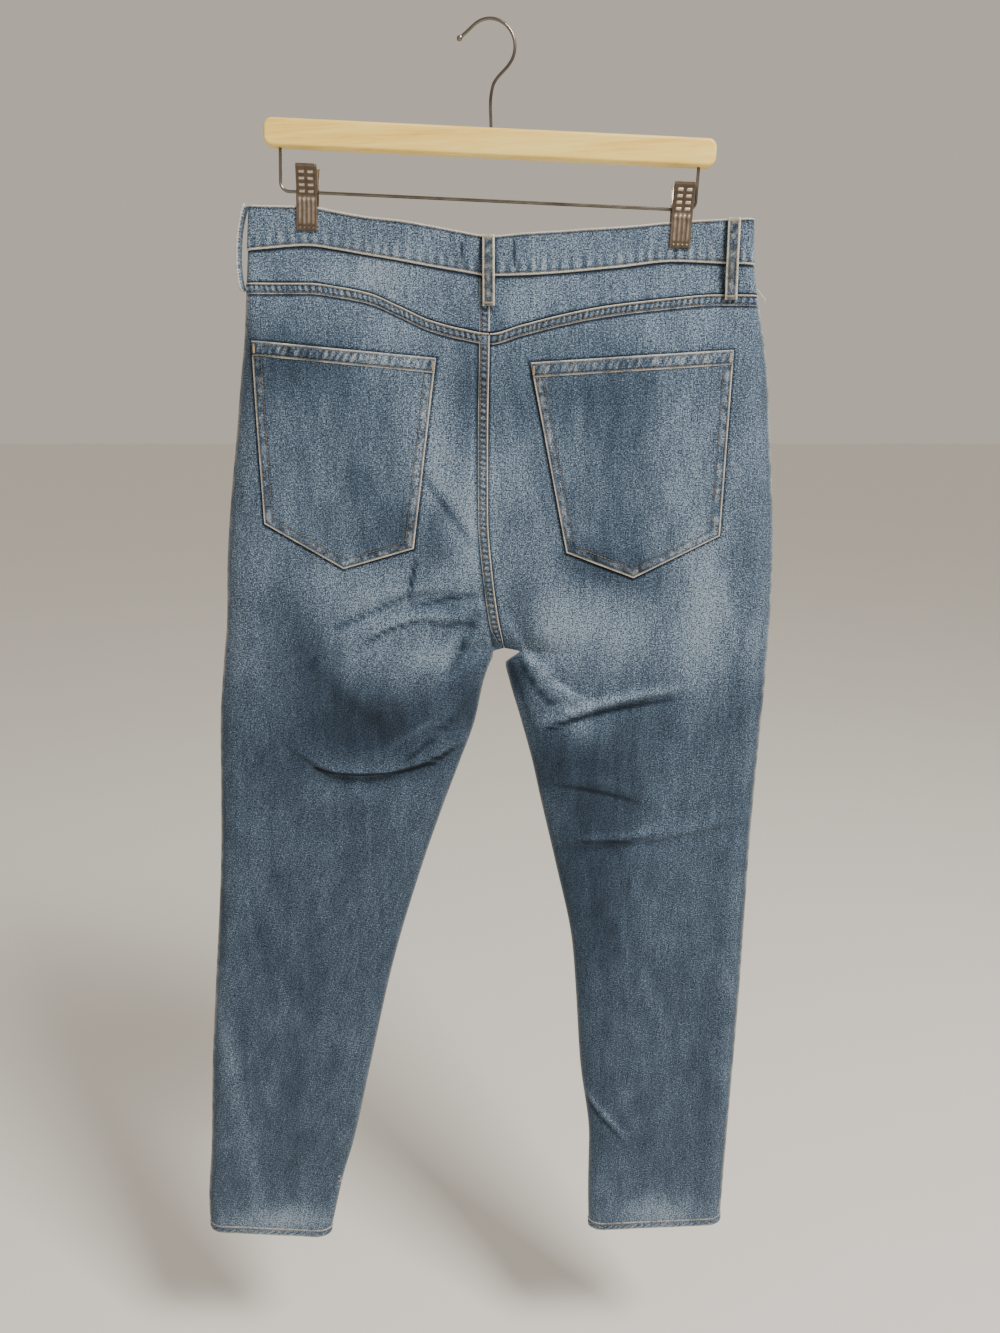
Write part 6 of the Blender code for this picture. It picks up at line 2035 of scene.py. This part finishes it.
def ramp(paint, value, stops):
    """Colour of a value along a table of stops."""
    return paint.make("ShaderNodeValToRGB", 0, {"stops": stops}, {0: value})


def mixed(paint, factor, first, second):
    """Blend of two colours by a factor."""
    return paint.make("ShaderNodeMix", 2, {"data_type": "RGBA"}, {0: factor, 6: first, 7: second})


def connect(paint, value, shader, name):
    """Feed a value into one of the shader's sockets."""
    paint.tree.links.new(value.socket, shader.inputs[name])


def outside_of(paint, corners, x, z):
    """Distance outside a convex outline, in metres: the largest of its edges' outward distances."""
    farthest = None
    for (x0, z0), (x1, z1) in zip(corners, corners[1:] + corners[:1]):
        length = math.hypot(x1 - x0, z1 - z0)
        across = (z1 - z0) / length
        up = (x0 - x1) / length
        away = x * across + z * up - (x0 * across + z0 * up) * MM
        farthest = away if farthest is None else paint.maths("MAXIMUM", farthest, away)
    return farthest


def pocket_unfaded_and_painted_shadow(paint):
    """1 on the narrow line just outside the back pockets, 0 elsewhere: unfaded cloth there, darkened further
    as painted shadow of the pockets' edges.
    """
    place = paint.make("ShaderNodeTexCoord", "Object", {}, {})
    x = paint.make("ShaderNodeSeparateXYZ", "X", {}, {"Vector": place})
    z = paint.make("ShaderNodeSeparateXYZ", "Z", {}, {"Vector": place})
    left, right = (outside_of(paint, pocket_outline(BACK_POCKETS[side]), x, z) for side in (LEFT, RIGHT))
    near = paint.maths("MINIMUM", left, right)
    black = (0.0, 0.0, 0.0)
    stops = ((0.40, black), (0.50, (1.0, 1.0, 1.0)), (0.72, (0.85, 0.85, 0.85)), (1.0, black))
    return ramp(paint, near * 170.0 + 0.5, stops)


def denim_finish(name, beside_pockets):
    """Faded denim: a twill with pale weft grains and upright slubs, worn to cotton on its edges.

    Tone is the cloth's tone, which carries painted shade and highlights, plus grain, slubs, weft flecks,
    mottling and twill, less the line of unfaded cloth and painted shadow outside the back pockets on the
    back panels, and a ramp turns it into indigo. Wear then blends it to cream, more where the grain stands
    up.
    """
    material, shader, paint = new_finish(name, 0.92, 0.0)
    place = paint.make("ShaderNodeUVMap", 0, {"uv_map": "cloth"}, {})
    tone = paint.make("ShaderNodeAttribute", "Fac", {"attribute_name": "tone"}, {})
    wear = paint.make("ShaderNodeAttribute", "Fac", {"attribute_name": "wear"}, {})
    grain = noise(paint, place, (1000.0, 900.0, 1.0), 2.0)
    coarse = noise(paint, place, (420.0, 340.0, 1.0), 2.0)
    streak = noise(paint, place, (900.0, 190.0, 1.0), 2.0)
    slub = noise(paint, place, (560.0, 42.0, 1.0), 2.0)
    weft = noise(paint, place, (300.0, 1000.0, 1.0), 2.0)
    mottle = noise(paint, place, (60.0, 34.0, 1.0), 3.0)
    twill_values = {"Vector": place, "Scale": 900.0}
    twill = paint.make("ShaderNodeTexWave", "Fac", {"bands_direction": "DIAGONAL"}, twill_values)
    fine = 2.30 * grain + 0.42 * streak + 0.36 * slub + 0.55 * weft + 0.40 * coarse + 0.12 * twill - 2.075
    shade = tone + fine * (0.26 + 1.75 * tone) + 0.24 * mottle - 0.12
    # A darker line outside the back pockets: unfaded cloth and painted shadow
    if beside_pockets:
        shade = shade - 0.40 * pocket_unfaded_and_painted_shadow(paint)
    indigo = ramp(paint, shade, DENIM_STOPS)
    rubbed = wear * (0.45 + 1.1 * grain)
    cream = ramp(paint, grain, COTTON_STOPS)
    connect(paint, mixed(paint, rubbed, indigo, cream), shader, "Base Color")
    surface = grain + 0.7 * streak + 0.5 * coarse + 0.5 * twill
    relief = paint.make("ShaderNodeBump", 0, {}, {"Strength": 0.45, "Distance": 0.0005, "Height": surface})
    connect(paint, relief, shader, "Normal")
    shader.inputs["Sheen Weight"].default_value = 0.05
    shader.inputs["Sheen Roughness"].default_value = 0.6
    shader.inputs["Specular IOR Level"].default_value = 0.2
    return material


def thread_finish(name, dark, pale):
    """Cotton thread: its colour varies from stitch to stitch and along its twist."""
    material, shader, paint = new_finish(name, 0.8, 0.0)
    place = paint.make("ShaderNodeTexCoord", "Object", {}, {})
    patchy = noise(paint, place, (160.0, 160.0, 160.0), 2.0)
    twist = noise(paint, place, (2600.0, 2600.0, 2600.0), 1.0)
    colour = ramp(paint, 0.75 * patchy + 0.25 * twist, ((0.3, dark), (0.7, pale)))
    connect(paint, colour, shader, "Base Color")
    relief = paint.make("ShaderNodeBump", 0, {}, {"Strength": 0.4, "Distance": 0.0002, "Height": twist})
    connect(paint, relief, shader, "Normal")
    return material


def steel_finish():
    """Nickel-plated steel, lightly tarnished: warm grey with dull patches and fine scratches."""
    material, shader, paint = new_finish("plated_steel", 0.28, 1.0)
    place = paint.make("ShaderNodeTexCoord", "Object", {}, {})
    dull = noise(paint, place, (45.0, 45.0, 45.0), 2.0)
    scratches = noise(paint, place, (300.0, 300.0, 3000.0), 2.0)
    connect(paint, ramp(paint, dull, STEEL_STOPS), shader, "Base Color")
    connect(paint, 0.14 + 0.16 * dull + 0.06 * scratches, shader, "Roughness")
    return material


def pressed_finish():
    """Pressed steel of the jaws: brown tarnish, with painted shade in the hollows and painted highlights on
    ribs and rims.
    """
    material, shader, paint = new_finish("pressed_steel", 0.3, 1.0)
    place = paint.make("ShaderNodeTexCoord", "Object", {}, {})
    relief = paint.make("ShaderNodeAttribute", "Fac", {"attribute_name": "tone"}, {})
    dull = noise(paint, place, (260.0, 260.0, 260.0), 3.0)
    # Painted shade in the hollows and painted highlights on the ribs, over brown tarnish
    tarnish_and_painted_light = relief * 0.85 + 0.4 * dull - 0.03
    connect(paint, ramp(paint, tarnish_and_painted_light, PRESSED_STOPS), shader, "Base Color")
    connect(paint, 0.40 - 0.16 * relief + 0.10 * dull, shader, "Roughness")
    return material


def wood_finish():
    """Varnished pale pine: broad and fine grain along the bar under a clear satin coat."""
    material, shader, paint = new_finish("varnished_pine", 0.45, 0.0)
    place = paint.make("ShaderNodeTexCoord", "Object", {}, {})
    turned = paint.make("ShaderNodeMapping", 0, {}, {"Vector": place, "Rotation": (0.0, HANGER_TILT, 0.0)})
    broad = noise(paint, turned, (7.0, 90.0, 150.0), 3.0)
    fine = noise(paint, turned, (26.0, 500.0, 1100.0), 3.0)
    pores = noise(paint, turned, (90.0, 900.0, 2200.0), 2.0)
    grain = 0.55 * broad + 0.33 * fine + 0.12 * pores
    connect(paint, ramp(paint, grain, WOOD_STOPS), shader, "Base Color")
    connect(paint, 0.36 + 0.22 * fine, shader, "Roughness")
    relief = paint.make("ShaderNodeBump", 0, {}, {"Strength": 0.16, "Distance": 0.0003, "Height": fine})
    connect(paint, relief, shader, "Normal")
    shader.inputs["Coat Weight"].default_value = 0.25
    shader.inputs["Coat Roughness"].default_value = 0.25
    return material


# Stage
CAMERA_PLACE = (0.0078, -0.877, -0.300)
CAMERA_PITCH = math.radians(14.0)
CAMERA_LENS = 27.0
FLOOR_HEIGHT = -1.32
FLOOR_HALF = 40.0
SKY_COLOUR = (1.0, 0.905, 0.77, 1.0)
SKY_STRENGTH = 0.52
Lamp = namedtuple("Lamp", "name place target size power colour")
LAMPS = (
    Lamp("key", (1.25, -1.35, 1.55), (0.0, 0.0, -0.55), 0.7, 100.0, (1.0, 0.97, 0.93)),
    Lamp("fill", (-1.3, -1.6, -0.2), (0.0, 0.0, -0.6), 1.4, 3.0, (1.0, 0.97, 0.95)),
)


def camera():
    """Camera at the photograph's viewing angle: level across, tilted down."""
    data = bpy.data.cameras.new("camera")
    data.lens = CAMERA_LENS
    data.sensor_width = 36.0
    data.clip_start = 0.01
    eye = add_object("camera", data)
    eye.location = CAMERA_PLACE
    eye.rotation_euler = (0.5 * math.pi - CAMERA_PITCH, 0.0, 0.0)
    bpy.context.scene.camera = eye


def area_light(lamp):
    """Square soft light at a place, facing a target."""
    data = bpy.data.lights.new(lamp.name, "AREA")
    data.size = lamp.size
    data.energy = lamp.power
    data.color = lamp.colour
    away = unit(np.array(lamp.place) - np.array(lamp.target))
    light = add_object(lamp.name, data)
    light.location = lamp.place
    light.rotation_euler = (math.acos(away[2]), 0.0, math.atan2(away[0], -away[1]))


def stage():
    """Plain pale floor, pale surroundings and two soft lights."""
    ways = ((-1, -1), (1, -1), (1, 1), (-1, 1))
    corners = [(x * FLOOR_HALF, y * FLOOR_HALF, FLOOR_HEIGHT) for x, y in ways]
    mesh = bpy.data.meshes.new("floor")
    mesh.from_pydata(corners, [], [(0, 1, 2, 3)])
    material, shader, paint = new_finish("floor_paint", 0.8, 0.0)
    place = paint.make("ShaderNodeTexCoord", "Object", {}, {})
    shade = noise(paint, place, (3.0, 3.0, 3.0), 3.0)
    connect(paint, ramp(paint, shade, FLOOR_STOPS), shader, "Base Color")
    mesh.materials.append(material)
    add_object("floor", mesh)
    world = bpy.data.worlds.new("surroundings")
    world.use_nodes = True
    back = world.node_tree.nodes["Background"]
    back.inputs["Color"].default_value = SKY_COLOUR
    back.inputs["Strength"].default_value = SKY_STRENGTH
    bpy.context.scene.world = world
    for lamp in LAMPS:
        area_light(lamp)


def state_sheets(made):
    """Look up the pieces sewn on each panel and each belt loop's length; nothing is kept of them."""
    for side, word in ((LEFT, "left"), (RIGHT, "right")):
        hems = [made[f"hem_back_{word}"]]
        fells = [made[f"yoke_fell_{word}"]]
        more = [made["loose_thread"]]
        if side == LEFT:
            more = [made["centre_fell"], made["back_topstitching"], made["loose_fibres"]]
        hems + fells + more
        more = [made["front_topstitching"]] if side == LEFT else []
        [made[f"hem_front_{word}"]] + more
        more = [made["yoke_centre_fell"]] if side == LEFT else []
    for loop in LOOPS:
        front = f"waistband_front_{side_name(loop_side(loop))}_cloth"
        loop_length(loop)
        "waistband_back_cloth" if loop.face == BACK else front


def loop_length(loop):
    """Length of a belt loop between its ends, in metres."""
    return round((loop.top - loop.bottom + 1.0) * MM, 3)


def main():
    """Build every piece and set the stage."""
    denim = denim_finish("denim_cloth", False)
    panel_denim = denim_finish("denim_panel", True)
    thread = thread_finish("seam_thread", *SEAM_THREAD)
    tack_thread = thread_finish("tack_thread", *TACK_THREAD)
    fibre = thread_finish("bare_cotton", *BARE_COTTON)
    steel = steel_finish()
    pressed = pressed_finish()
    wood = wood_finish()
    made = {}
    for side, word in ((LEFT, "left"), (RIGHT, "right")):
        made[f"back_panel_{word}"] = back_panel(side, panel_denim)
        made[f"front_panel_{word}"] = front_panel(side, denim)
        made[f"hem_back_{word}"] = hem_band(side, BACK, denim)
        made[f"hem_front_{word}"] = hem_band(side, FRONT, denim)
        made[f"yoke_{word}"] = yoke(side, denim)
        made[f"yoke_fell_{word}"] = yoke_fell(side, denim)
        made[f"back_pocket_{word}"] = back_pocket(side, denim)
        made[f"pocket_hem_{word}"] = pocket_hem(side, denim)
        made[f"front_facing_{word}"] = front_facing(side, denim)
    made["centre_fell"] = centre_fell(*CENTRE_FELL_ENDS, "centre_fell", 55, denim)
    made["yoke_centre_fell"] = centre_fell(*YOKE_CENTRE_ENDS, "yoke_centre_fell", 57, denim)
    for name, side, face, ends, raised in (
        ("waistband_back", LEFT, BACK, (None, None), flat_lift),
        ("waistband_front_right", RIGHT, FRONT, (-BAND_OVERLAP, None), flat_lift),
        ("waistband_front_left", LEFT, FRONT, (None, BAND_OVERLAP), lapped_lift),
    ):
        made[name] = waistband_length(name, side, face, ends, raised, denim)
    for loop in LOOPS:
        made[loop.name] = flat_loop(loop, denim)
    made["side_loop"] = side_loop(denim)
    made["fly"] = fly(denim)
    for name, rows in (("back_topstitching", back_rows()), ("front_topstitching", front_rows())):
        stitches = [row_stitches(row) for row in rows]
        made[name] = thread_object(name, stitches, STITCH_RADIUS, STITCH_RISE, thread)
    made["bar_tacks"] = thread_object("bar_tacks", bar_tacks(), 0.33, 0.1, tack_thread)
    made["loose_fibres"] = thread_object("loose_fibres", loose_fibres(), 0.10, 0.5, fibre)
    made["loose_thread"] = loose_thread(fibre)
    button(steel)
    bar(wood)
    hook(steel)
    clip_wire(steel)
    for word, across in zip(("left", "right"), CLIP_ACROSS):
        centre_u = clip_centre(across)
        jaw(f"clip_jaw_back_{word}", centre_u, BACK, pressed)
        jaw(f"clip_jaw_front_{word}", centre_u, FRONT, pressed)
        spring(f"clip_spring_{word}", centre_u, steel)
    state_sheets(made)
    camera()
    stage()


main()
